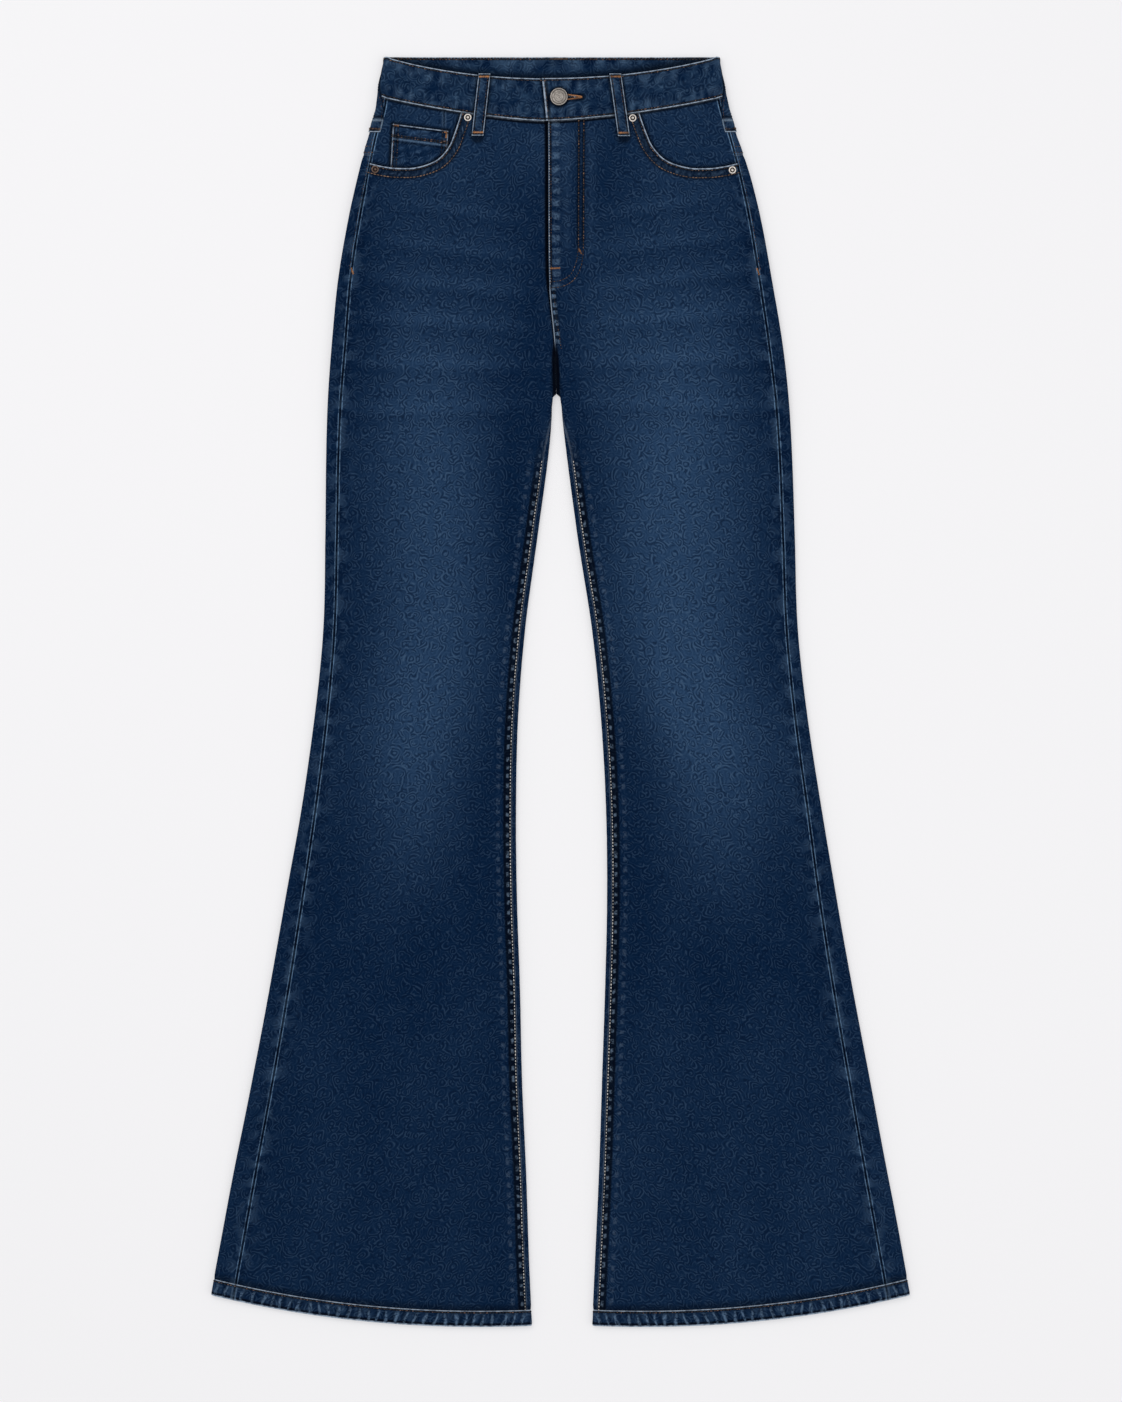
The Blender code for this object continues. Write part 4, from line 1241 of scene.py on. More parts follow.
@dataclass(frozen=True)
class Hem:
    """A turned-up hem: one ring round the leg's opening, roped by its stitching."""

    side: Side
    rows: int = 11
    pitch: float = 0.0087
    ditch: float = 0.35 * MM
    edge_roll: float = 0.5 * MM
    roll_over: float = 0.0022

    def columns(self) -> tuple[Array, Array]:
        """Parts of the front's length, and offsets, all round the ring.

        Returns:
            The parts and the offsets.
        """
        quarter = PATTERN.quarter
        table = [(0.0, -quarter + quarter * i / 3) for i in range(7)]
        table += [(i / 9, quarter * (1 - 2 * i / 9)) for i in range(1, 9)]
        table += [(1.0, -quarter + quarter * i / 3) for i in range(7)]
        table += [(2 - i / 9, -quarter * (1 - 2 * i / 9)) for i in range(8, 0, -1)]
        table.append((2.0, -quarter))
        fold, flat = (2,) * 6, (26,) * 9
        part, offset = blend_columns(table, finer(fold + flat + fold + flat))
        return part[:-1], offset[:-1]

    def cloth(self) -> Cloth:
        """The hem's outer face, with its diagonal roping.

        Returns:
            The hem.
        """
        part, offset = self.columns()
        side = self.side
        rows = PATTERN.hem_line + PATTERN.hem_height * np.linspace(0, 1, self.rows)
        straight = np.repeat(rows[:, None], len(part), 1)

        def along_of(down: Array) -> Array:
            """Along the cloth of the ring's columns."""
            return PATTERN.front_length(side, down) * part + offset

        down = PATTERN.bowed(side, straight, along_of(straight))
        along = along_of(down)
        fade = 0.10 + 0.08 * Hills(51, 0.03)(along, down)
        cloth = Cloth.laid(side, down, along, fade, thickness=PATTERN.hem, ring=True)
        height = (down - down[:1]) / PATTERN.hem_height
        twist = along / self.pitch + 0.15 * height + 0.35 * Hills(52, 0.05)(along, down)
        rope = np.sin(FULL_TURN * twist) * (0.20 + 0.08 * Hills(53, 0.04)(along, down)) * MM
        rope *= np.sin(np.pi * np.clip(height, 0, 1)) ** 0.7
        ditch = -self.ditch * bump(height, 0.12, 0.10)
        # Rope crests: paler, partly wear, partly painted highlight. Hollows, stitch row: painted shade.
        crest, hollow = np.maximum(rope, 0) / (0.28 * MM), np.maximum(-rope, 0) / (0.28 * MM)
        crest = crest ** 2 * (0.7 + 0.5 * Hills(54, 0.012)(along, down))
        cloth = cloth.shaded(
            0.45 * hollow + 0.35 * bump(height, 0.12, 0.14), 0.5 * crest, 0.08 * np.clip(crest, 0, 1)
        )
        seam = np.abs(along - PATTERN.seam_in(down))
        cloth = cloth.shaded(0.9 * fall(seam, 0.0003, 0.0010), 0.0, 0.9 * bump(seam, 0.0017, 0.0011))
        return cloth.relieved(rope + ditch, self.edge_roll, self.roll_over)


@dataclass(frozen=True)
class Waistband:
    """One strip round the waist; the wearer's left end laps over the right at the centre front."""

    rows: int = 23
    hole: Place = (-0.0015, 0.0365)
    hole_length: float = 0.0205
    eye: float = 0.0036
    slit: float = 0.0008
    slit_end: float = 0.0170
    lap_share: float = 1.18
    edge_roll: float = 0.6 * MM
    roll_over: float = 0.0022

    def side_columns(self, side: Side) -> tuple[Array, Array]:
        """(share across the front or nan, along the cloth) from the centre back to the centre front.

        Args:
            side: the wearer's side.

        Returns:
            The share of each column, and its place round the back.
        """
        middle = PATTERN.band_height / 2
        quarter = PATTERN.quarter
        flat = PATTERN.width(side, middle, False) - PATTERN.radius + quarter
        back = np.linspace(-flat, -quarter, 66)
        fold = np.linspace(-quarter, quarter, 13)[1:]
        shares = np.concatenate([
            np.array([0.05]), np.linspace(0.07, 0.90, 58), np.linspace(0.90, 1.0, 12)[1:],
        ])
        if side is Side.RIGHT:
            shares = np.concatenate([shares, np.linspace(1.0, self.lap_share, 14)[1:]])
        share = np.concatenate([np.full(len(back) + len(fold), np.nan), shares])
        return share, np.concatenate([back, fold, np.zeros(len(shares))])

    def half(self, side: Side) -> tuple[Array, Array, Array, Array]:
        """(points, out, down, whether it is on the front) of one half of the strip.

        Args:
            side: the wearer's side.

        Returns:
            The four arrays.
        """
        share, round_way = self.side_columns(side)
        on_front = ~np.isnan(share)
        within = np.where(on_front, np.minimum(share, 2 - share), 0.0)
        high = np.where(on_front, PATTERN.waist_top(within), 0.0)
        low = np.where(on_front, PATTERN.waist_seam(within), PATTERN.band_height)
        blend = np.linspace(0, 1, self.rows)[:, None]
        down = high + (low - high) * blend
        along = np.where(on_front, PATTERN.along_at(side, down, np.nan_to_num(share)), round_way)
        lift = np.zeros(down.shape)
        if side is Side.LEFT:
            reach = PATTERN.width(side, high)
            lap = (PATTERN.band + PATTERN.gap) * fall((1 - share) * reach, 0.030, 0.070)
            lift = np.where(on_front, lap, 0.0) + lift
            lean = 0.0040 - 0.0026 * blend
            along = along + np.where(on_front, lean * ease((1 - share) * reach, 0.012, 0.0), 0.0)
        points = PATTERN.place(side, down, along, lift)
        return points, PATTERN.out(side, down, along), down, np.broadcast_to(on_front, down.shape)

    def cloth(self) -> Cloth:
        """The strip with its puckers along both stitched edges.

        Returns:
            The strip.
        """
        halves = [self.half(side) for side in (Side.RIGHT, Side.LEFT)]
        joined = []
        for right, left in zip(*halves):
            joined.append(np.concatenate([right[:, ::-1], left[:, 1:]], axis=1))
        points, out, down, front = joined
        steps = np.linalg.norm(np.diff(points[self.rows // 2], axis=0), axis=-1)
        strip = np.broadcast_to(np.concatenate([[0.0], np.cumsum(steps)]), down.shape)
        depth = np.cumsum(np.linalg.norm(np.diff(points, axis=0), axis=-1), axis=0)
        depth = np.concatenate([np.zeros((1, down.shape[1])), depth])
        share = (np.abs(points[..., 0] - PATTERN.centre_front(down)) / 0.1475).clip(0, 1)
        lip = PATTERN.waist_top(1 - share)
        streaks = 0.60 * Hills(66, 0.021)(strip, depth * 0) + 0.16 * Hills(67, 0.008)(strip, depth * 0.3)
        streaks = streaks * fall(down, lip - 0.012, lip - 0.003)
        inside = 0.34 + streaks
        mottle = 0.26 * Hills(61, 0.017, 0.5)(strip, depth) + 0.16 * Hills(68, 0.007, 0.6)(strip, depth)
        edge = np.minimum(depth, depth[-1:] - depth)
        tucks = Hills(69, 0.0085)(strip, depth * 0.25) * bell(edge, 0.0075, 0.0045)
        folds = 0.30 * Hills(60, 0.009)(strip * 0.22, depth)
        face = 0.28 + mottle + folds + 0.50 * tucks
        fade = np.stack([face, np.where(front, face, inside)])
        covered = 0.85 * ease(down, lip - 0.0085, lip - 0.0005) * fall(share, 0.950, 0.982)
        shadow = np.stack([down * 0, np.where(front, 0.0, covered)])
        lap_end = points[:, -1:, 0]
        under = (points[..., 0] < lap_end) & front
        shadow = np.where(under, 0.95 * fall(lap_end - points[..., 0], 0.0004, 0.0034), shadow)
        hole = (self.hole, (self.hole[0] + self.hole_length, self.hole[1]))
        for (top, low), near, far in (
            (LOOP_PLACES[0], 0.0048, 0.0086), (LOOP_PLACES[1], 0.0048, 0.0086), (hole, 0.0022, 0.0046),
            ((self.hole, self.hole), 0.0086, 0.0108),
        ):
            beside = away_from(seen_above((top, low)), points)
            shadow = np.maximum(shadow, np.where(front, 0.88 * fall(beside, near, far), 0.0))
        tucked = 0.26 * np.maximum(tucks, 0)
        wear = np.stack([tucked, np.where(front, tucked, 0.34 * np.maximum(streaks, 0))])
        cloth = Cloth(points, out, strip, depth, PATTERN.band, np.clip(fade, 0, 1), shadow=shadow, wear=wear)
        pucker = Hills(62, 0.012)(strip, depth * 0) * bell(edge, 0.004, 0.004) * 0.16 * MM
        soft = Hills(63, 0.022, 0.6)(strip, depth) * 0.20 * MM
        flutes = np.abs(Hills(64, 0.022, 6.0)(strip, depth)) * 0.45 * MM * ~front
        ditch = -0.22 * MM * bump(edge, 0.0042, 0.0016)
        return cloth.relieved(pucker + soft + flutes + ditch, self.edge_roll, self.roll_over)

    def cut_hole(self, band: bpy.types.Object) -> None:
        """Cuts the keyhole of the buttonhole through the lapping end.

        Args:
            band: the waistband, whose mesh is replaced.
        """
        eye, slit, length = self.eye, self.slit, self.slit_end
        start = math.asin(slit / eye)
        turns = np.linspace(-start, start - FULL_TURN, 17)
        outline = [(length, slit), (length + 0.0006, 0.0), (length, -slit)]
        outline += [(eye * math.cos(t), eye * math.sin(t)) for t in turns]
        flat = np.array([(self.hole[0] + x, PATTERN.origin - self.hole[1] + y) for x, y in outline])
        low = PATTERN.seat + 2 * PATTERN.band + PATTERN.layer + PATTERN.gap / 3
        count = len(flat)
        points = np.concatenate([np.column_stack([flat, np.full(count, z)]) for z in (low, low + 0.01)])
        mesh = bpy.data.meshes.new("keyhole_cutter")
        walls = [(i, (i + 1) % count, (i + 1) % count + count, i + count) for i in range(count)]
        floor, lid = tuple(range(count))[::-1], tuple(range(count, 2 * count))
        mesh.from_pydata(points.tolist(), [], [*walls, floor, lid])
        area = np.sum(flat[:, 0] * np.roll(flat[:, 1], -1) - np.roll(flat[:, 0], -1) * flat[:, 1])
        if area < 0:
            mesh.flip_normals()
        cutter = bpy.data.objects.new("keyhole_cutter", mesh)
        bpy.context.scene.collection.objects.link(cutter)
        cut = band.modifiers.new("keyhole", "BOOLEAN")
        cut.object, cut.operation, cut.solver = cutter, "DIFFERENCE", "EXACT"
        graph = bpy.context.evaluated_depsgraph_get()
        solid = bpy.data.meshes.new_from_object(band.evaluated_get(graph))
        band.modifiers.remove(cut)
        band.data = solid
        bpy.data.objects.remove(cutter, do_unlink=True)


@dataclass(frozen=True)
class SmallPieces:
    """The hip facings, coin pocket, back pockets, belt loops, fly shield and zip tape."""

    loop_half: float = 0.00525
    loop_rows: int = 47
    loop_thickness: float = 0.0010
    loop_swell: float = 0.0006
    facing_end: float = 0.62
    facing_low: float = 0.122
    facing_rise: float = 0.030
    facing_seam: float = -0.1048
    coin_top: float = 0.0605
    coin_slant: float = 0.0063
    coin_foot: float = 0.1120
    pocket_top: float = 0.1400
    pocket_length: float = 0.1280
    pocket_point: float = 0.0240
    pocket_middle: float = 0.0900
    pocket_half: float = 0.0700
    pocket_taper: float = 0.0085

    def under_mouth(self, cloth: Cloth, side: Side) -> Cloth:
        """The cloth with the soft shadow of the pocket mouth's edge on it.

        Args:
            cloth: the cloth.
            side: the wearer's side.

        Returns:
            The shaded cloth.
        """
        shares, downs = Panels(side).mouth_top(np.linspace(0, 8, 60))
        edge = PATTERN.face(side, downs, PATTERN.along_at(side, downs, shares))
        return cloth.shaded(0.85 * fall(away_from(edge, cloth.points), 0.0006, 0.0042))

    def facing(self, side: Side) -> Cloth:
        """The hip piece that shows inside the pocket mouth.

        Args:
            side: the wearer's side.

        Returns:
            The facing.
        """
        inset = PATTERN.seam_in(np.array([0.05])) + PATTERN.gap / 4
        first = float((PATTERN.inward(side, 0.05, inset) / PATTERN.width(side, 0.05))[0])
        places = np.linspace(0, 1, 96)
        shares = first + (self.facing_end - first) * places
        high = PATTERN.waist_seam(np.maximum(shares, 0.045)) + PATTERN.gap / 2
        down = high + (self.facing_low - self.facing_rise * shares - high) * steps_down(52)
        seam = PATTERN.seam_in(down) + PATTERN.gap / 4
        along = PATTERN.along_at(side, down, shares)
        along = along + (seam - PATTERN.along_at(side, down, shares[0])) * (1 - places) ** 2
        cloth = Cloth.laid(side, down, along, 0.27)
        if side is Side.RIGHT:
            cloth = self.beside_coin(cloth)
        cloth = cloth.shaded(0.95 * fall(cloth.distances()["top_edge"], 0.0009, 0.0032))
        return self.under_mouth(cloth, side).relieved(Hills(71, 0.02)(along, down) * 0.10 * MM, 0.3 * MM)

    def beside_coin(self, cloth: Cloth) -> Cloth:
        """The facing with the seam over the coin pocket and the shadow round it.

        Args:
            cloth: the cloth.

        Returns:
            The shaded cloth.
        """
        seam = cloth.points[..., 0] - self.facing_seam
        above = fall(cloth.down, 0.060, 0.067)
        hem = 0.45 * (bump(seam, -0.0013, 0.0011) + bump(seam, 0.0013, 0.0011))
        cloth = cloth.shaded(0.7 * bump(seam, 0.0, 0.0010) * above, 0.0, hem * above)
        beside = away_from(seen_above(COIN_CORNERS + COIN_CORNERS[:1]), cloth.points)
        return cloth.shaded(0.85 * fall(beside, 0.0012, 0.0036))

    def coin_pocket(self) -> Cloth:
        """The small pocket on the wearer's right facing.

        Returns:
            The pocket.
        """
        side, u, v = Side.RIGHT, np.linspace(0, 1, 52), steps_down(58)
        top = self.coin_top + self.coin_slant * u
        down = top + (self.coin_foot - top) * v
        along = PATTERN.along_to(side, down, -0.1508 + 0.0498 * u - 0.0030 * v)
        cloth = Cloth.laid(side, down, along, 0.30, PATTERN.step)
        marks = cloth.distances()
        high = marks["top_edge"]
        rows = np.minimum(np.abs(marks["first_edge"] - 0.0045), np.abs(marks["last_edge"] - 0.0045))
        hollow = 0.60 * fall(rows, 0.0006, 0.0022) + 0.75 * bump(high, 0.0108, 0.0022)
        hollow = hollow + 0.6 * bump(high, 0.0155, 0.0018)
        light = 0.35 * bump(high, 0.0055, 0.0045) + 0.5 * Hills(75, 0.009)(along, down) - 0.1
        cloth = self.under_mouth(cloth.shaded(hollow, light, 0.90 * bump(high, 0.0132, 0.0014)), side)
        uneven = Hills(72, 0.013)(along, down) * 0.12 * MM
        return cloth.relieved(uneven - 0.18 * MM * bump(high, 0.0105, 0.0012), 0.55 * MM, 0.0020)

    def back_pocket(self, side: Side) -> Cloth:
        """A five-sided patch under the seat.

        Args:
            side: the wearer's side.

        Returns:
            The pocket.
        """
        u, v = np.linspace(-1, 1, 45), steps_down(46)
        length = self.pocket_length + self.pocket_point * (1 - np.abs(u))
        down = self.pocket_top + v * length - 0.0050 * u
        half = self.pocket_half - self.pocket_taper * v
        x = PATTERN.centre_back(down) + side.value * (self.pocket_middle + u * half)
        fade = np.clip(0.42 + 0.10 * Hills(73, 0.04)(x, down), 0, 1)
        along = -PATTERN.along_to(side, down, x)
        cloth = Cloth.laid(side, down, along, fade, PATTERN.seat, across=x)
        hem = 0.15 * MM * bump(cloth.distances()["top_edge"], 0.018, 0.0012)
        return cloth.relieved(-hem - 0.0001, 0.4 * MM, 0.0016)

    def loop(self, side: Side, top: Place, low: Place, front: bool) -> Cloth:
        """A belt loop from its upper to its lower end, with its edges rolled round a core.

        Args:
            side: the wearer's side.
            top: its upper end, as (x, down).
            low: its lower end.
            front: whether it is on the front.

        Returns:
            The loop.
        """
        v, u = steps_down(self.loop_rows), np.linspace(-self.loop_half, self.loop_half, 15)
        down = top[1] + (low[1] - top[1]) * v + 0 * u
        along = PATTERN.along_to(side, down, top[0] + (low[0] - top[0]) * v + u)
        if front:
            rise = PATTERN.front_rise(side, np.maximum(down, 0.0580), along)
            lift = rise + PATTERN.step + 0.0004 + self.loop_swell * np.sin(np.pi * v)
        else:
            along, lift = -along, PATTERN.seat
        return self.rounded(Cloth.laid(side, down, along, 0.5, lift, self.loop_thickness, u), front)

    def side_loop(self, side: Side) -> Cloth:
        """A belt loop near the side fold, its lower end turned to the front.

        Args:
            side: the wearer's side.

        Returns:
            The loop.
        """
        v, u = steps_down(self.loop_rows), np.linspace(-self.loop_half, self.loop_half, 17)
        along = -0.0070 + 0.0132 * ease(v, 0.1, 1.0) + u
        cloth = Cloth.laid(side, 0.0680 * v + 0 * u, along, 0.42, PATTERN.seat, self.loop_thickness, u)
        marks = cloth.distances()
        foot = marks["foot_edge"]
        edges = fall(np.minimum(marks["first_edge"], marks["last_edge"]), 0.0006, 0.0015)
        box = fall(foot, 0.0108, 0.0122)
        shadow = np.maximum(0.9 * bump(foot, 0.0142, 0.0022), 0.7 * (1 - box) * edges)
        wear = 0.9 * np.maximum(box * edges, bump(foot, 0.0112, 0.0016))
        return self.rounded(cloth.shaded(shadow, 0.0, wear), False)

    def rounded(self, cloth: Cloth, front: bool) -> Cloth:
        """The loop's two stitched ribs, and its puckers between them.

        Args:
            cloth: the cloth.
            front: whether it is on the front.

        Returns:
            The loop with its relief.
        """
        rib = 0.30 * MM * (np.cos(FULL_TURN * cloth.across / 0.0070) * 0.5 + 0.5) * (1.0 if front else 0.3)
        ends = cloth.distances()
        tack = -0.35 * MM * bump(np.minimum(ends["top_edge"], ends["foot_edge"]), 0.0052, 0.0022)
        uneven = 0.10 * MM * Hills(74, 0.008)(cloth.across, cloth.down)
        return cloth.relieved(rib + tack + uneven - 0.1 * MM, 0.5 * MM, 0.0014)

    def strip(self, near: float, far: float, lift: float, thickness: float) -> Cloth:
        """A strip behind the fly, near and far being its edges' distances from the centre front.

        Args:
            near: from the centre front to the near edge.
            far: to the far edge.
            lift: how far it stands over the face.
            thickness: of the wall.

        Returns:
            The strip.
        """
        side, u = Side.LEFT, np.linspace(0, 1, 14)
        from_centre = near + (far - near) * u
        high = PATTERN.waist_seam(1 - from_centre / PATTERN.width(side, PATTERN.band_height)) + 0.0009
        down = high + (PATTERN.fly_end - 0.010 * u - high) * steps_down(60)
        along = PATTERN.front_length(side, down) - from_centre
        cloth = Cloth.laid(side, down, along, 0.3, lift, thickness, from_centre)
        return cloth.relieved(np.zeros(down.shape), 0.1 * MM)


@dataclass(frozen=True)
class Turned:
    """A round metal piece, from a half section of (radius, height) in metres that starts on its axis."""

    profile: tuple[tuple[float, float], ...]
    segments: int = 48

    def build(
        self, name: str, place: Array, out: Array, material: bpy.types.Material, tones: Sequence[float],
        relief: Callable[[Array, Array], Array] | None = None,
    ) -> bpy.types.Object:
        """Turns the section about an axis at place.

        Args:
            name: the object's name.
            place: where it stands.
            out: the axis.
            material: its material.
            tones: of each point of the section, from 0 in tarnished hollows to 1 where rubbed bright.
            relief: raises the upper face by radius and angle.

        Returns:
            The object.
        """
        rings = np.array(self.profile)
        angles = np.arange(self.segments) * 2 * math.pi / self.segments
        radius, height = rings[:, :1], rings[:, 1:]
        raised = height + (relief(radius, angles) if relief else 0.0) * (height > 0)
        local = np.stack([
            radius * np.cos(angles), radius * np.sin(angles), raised + 0 * angles,
        ], -1)
        local[0, :] = (0, 0, rings[0, 1])
        local[-1, :] = (0, 0, rings[-1, 1])
        turn = np.array(Vector((0, 0, 1)).rotation_difference(Vector(out)).to_matrix())
        mesh_rows = local.reshape(-1, 3) @ turn.T + place
        count, wide = len(rings), self.segments
        index = np.arange(count * wide).reshape(count, wide)
        after = np.roll(index, -1, axis=1)
        quads = np.stack([index[:-1], after[:-1], after[1:], index[1:]], -1).reshape(-1, 4)
        mesh = bpy.data.meshes.new(name)
        mesh.from_pydata(mesh_rows.tolist(), [], quads.tolist())
        mark = mesh.attributes.new("tone", "FLOAT", "POINT")
        mark.data.foreach_set("value", np.repeat(np.array(tones, float), wide))
        made = bpy.data.objects.new(name, mesh)
        self.close(mesh)
        mesh.materials.append(material)
        bpy.context.scene.collection.objects.link(made)
        return made

    def close(self, mesh: bpy.types.Mesh) -> None:
        """Joins the points on the axis and turns the faces outward.

        Args:
            mesh: the mesh.
        """
        shape = bmesh.new()
        shape.from_mesh(mesh)
        bmesh.ops.remove_doubles(shape, verts=shape.verts, dist=1e-6)
        bmesh.ops.dissolve_degenerate(shape, edges=shape.edges, dist=1e-7)
        bmesh.ops.recalc_face_normals(shape, faces=shape.faces)
        if shape.calc_volume(signed=True) < 0:
            bmesh.ops.reverse_faces(shape, faces=shape.faces)
        shape.to_mesh(mesh)
        shape.free()
        mesh.shade_smooth()
        mesh.set_sharp_from_angle(angle=math.radians(40))


@dataclass(frozen=True)
class Metal:
    """The shank button and the four rivets."""

    rim: float = 0.0079
    button_sides: int = 96
    rivet_sides: int = 32
    rivets: tuple[tuple[Side, float, float], ...] = (
        (Side.RIGHT, -0.0834, 0.0550), (Side.RIGHT, -0.1672, 0.1017),
        (Side.LEFT, 0.0648, 0.0554), (Side.LEFT, 0.1548, 0.1022),
    )

    def button(self, material: bpy.types.Material) -> bpy.types.Object:
        """A shank button: a flat disc in a thin rolled rim, with a faint raised ring worn smooth.

        Args:
            material: its material.

        Returns:
            The object.
        """
        lap = PATTERN.band + 2 * PATTERN.gap + 0.0006
        rim = self.rim
        head = (
            (rim - 0.0010, 0.0002), (rim - 0.0002, 0.0006), (rim, 0.0012), (rim - 0.0002, 0.0018),
            (rim - 0.0006, 0.0021), (rim - 0.0010, 0.0021), (rim - 0.0013, 0.0018), (rim - 0.0016, 0.0018),
            (rim - 0.0020, 0.0020), (0.0050, 0.0021), (0.0042, 0.0021), (0.0034, 0.0021), (0.0026, 0.0021),
            (0.0018, 0.0022), (0.0010, 0.0022), (0.0, 0.0022),
        )
        profile = ((0.0, 0.0), (0.0028, 0.0), (0.0028, lap)) + tuple((r, lap + h) for r, h in head)

        def relief(radius: Array, angle: Array) -> Array:
            """A faint raised ring of small marks, and a worn unevenness in the middle.

            Args:
                radius: from the axis.
                angle: round it.

            Returns:
                The height at each place.
            """
            ring = bump(radius, 0.0034, 0.0010)
            marks = 0.5 + 0.5 * np.sin(angle * 9) * np.sin(angle * 5 + 1.0)
            return ring * marks * 0.00022 + bump(radius, 0.0014, 0.0012) * np.sin(angle * 3) * 0.00010

        place = np.array([
            Waistband.hole[0], PATTERN.origin - Waistband.hole[1],
            PATTERN.seat + 2 * PATTERN.band + PATTERN.layer + PATTERN.gap,
        ])
        tones = (
            0, 0, 0, 0.1, 0.6, 1.0, 1.0, 1.0, 0.7, 0.12, 0.12, 0.6, 0.58, 0.28, 0.70, 0.42, 0.75, 0.30, 0.70,
        )
        up = np.array([0, 0, 1.0])
        return Turned(profile, self.button_sides).build("button_cap", place, up, material, tones, relief)

    def rivet(self, number: int, material: bpy.types.Material) -> bpy.types.Object:
        """A rivet: a flange ring round a burr with a sunk middle.

        Args:
            number: counted from 0.
            material: its material.

        Returns:
            The object.
        """
        side, x, down = self.rivets[number]
        along = PATTERN.along_to(side, down, x)
        rise = PATTERN.front_rise(side, down, along)
        place = PATTERN.place(side, down, along, rise + 2 * PATTERN.gap)
        out = PATTERN.out(side, down, along)
        profile = (
            (0.0, 0.0), (0.0031, 0.0), (0.0034, 0.0003), (0.0034, 0.0006), (0.0031, 0.0009),
            (0.0026, 0.0010), (0.0022, 0.0008), (0.0020, 0.0005), (0.0016, 0.0005), (0.0014, 0.0009),
            (0.0011, 0.0012), (0.0007, 0.0011), (0.0, 0.0008),
        )
        tones = (0, 0, 0.2, 0.6, 1.0, 1.0, 0.6, 0.0, 0.0, 0.0, 0.5, 0.9, 0.5)
        rivet = Turned(profile, self.rivet_sides)
        return rivet.build(f"rivet_cap_{number + 1}", place, out, material, tones)


# -------------------------------------------------------------------------------------------- laid by nodes


@dataclass(frozen=True)
class Bead:
    """What is repeated along a line. Sizes in metres; turn is from the line's direction, in degrees."""

    pitch: float = 0.0031
    length: float = 0.0025
    width: float = 0.00062
    height: float = 0.00050
    turn: float = 0.0
    uneven: float = 0.12


class Value:
    """A node's output, worked with like a number."""

    def __init__(self, nodes: "Nodes", socket: bpy.types.NodeSocket) -> None:
        """Keeps the output and the nodes that it is one of."""
        self.nodes, self.socket = nodes, socket

    def on(self, what: str, other: "Value | float", turned: bool = False) -> "Value":
        """A Math node of this value and another, or of the other and this one."""
        return self.nodes.math(what, *((other, self) if turned else (self, other)))

    __add__ = __radd__ = partialmethod(on, "ADD")
    __mul__ = __rmul__ = partialmethod(on, "MULTIPLY")
    __truediv__ = partialmethod(on, "DIVIDE")
    __sub__ = partialmethod(on, "SUBTRACT")
    __rsub__ = partialmethod(on, "SUBTRACT", turned=True)


class Nodes:
    """A short way to write nodes in one tree."""

    def __init__(self, tree: bpy.types.NodeTree) -> None:
        """Keeps the tree that nodes are added to."""
        self.tree = tree

    def put(self, node: bpy.types.Node, socket: int | str, value: object) -> None:
        """Joins a value to a node's input, or sets the input's constant.

        Args:
            node: the node.
            socket: the input's name or number.
            value: an output or a constant.
        """
        if isinstance(value, Value):
            self.tree.links.new(value.socket, node.inputs[socket])
        else:
            node.inputs[socket].default_value = value

    def add(
        self, kind: str, inputs: dict[int | str, object], out: int | str = 0, **settings: object
    ) -> Value:
        """A node of a kind, with its inputs and settings.

        Args:
            kind: the node's type; a shader node's goes without its ShaderNode.
            inputs: values and constants by socket.
            out: the output that is wanted.
            settings: the node's own properties.

        Returns:
            That output.
        """
        node = self.tree.nodes.new(kind if "Node" in kind else f"ShaderNode{kind}")
        for key, value in settings.items():
            setattr(node, key, value)
        for key, value in inputs.items():
            self.put(node, key, value)
        return Value(self, node.outputs[out])

    def math(self, what: str, *values: Value | float, clamp: bool = False) -> Value:
        """A Math node's output."""
        return self.add("Math", dict(enumerate(values)), operation=what, use_clamp=clamp)

    def span(self, value: Value, low: float, high: float, start: float = 0.0, end: float = 1.0) -> Value:
        """value from low..high to start..end, softly, held at both ends."""
        inputs = dict(enumerate((value, low, high, start, end)))
        return self.add("MapRange", inputs, interpolation_type="SMOOTHSTEP")

    def vector(self, what: str, a: object, b: object) -> Value:
        """A Vector Math node's output."""
        return self.add("VectorMath", {0: a, 1: b}, operation=what)

    def noise(
        self, place: Value, scale: float, detail: float = 2.0, rough: float = 0.5, solid: bool = False,
        out: int = 0,
    ) -> Value:
        """A noise texture's value, flat on the cloth's own map or solid in the object's place."""
        inputs = {"Vector": place, "Scale": scale, "Detail": detail, "Roughness": rough}
        return self.add("TexNoise", inputs, out, noise_dimensions="3D" if solid else "2D")

    def mix(self, share: Value, a: object, b: object) -> Value:
        """A colour mix's output."""
        return self.add("Mix", {0: share, 6: a, 7: b}, 2, data_type="RGBA")

    def mark(self, name: str) -> Value:
        """A named attribute's value."""
        return self.add("Attribute", {}, "Fac", attribute_name=name)

    def group(self, tree: bpy.types.NodeTree, **given: object) -> dict[str, Value]:
        """A shared effect's outputs by name, with its inputs given by name.

        Args:
            tree: the effect.
            given: a value or constant for each input.

        Returns:
            The outputs, by name.
        """
        node = self.tree.nodes.new("ShaderNodeGroup")
        node.node_tree = tree
        for key, value in given.items():
            self.put(node, key, value)
        return {socket.name: Value(self, socket) for socket in node.outputs}


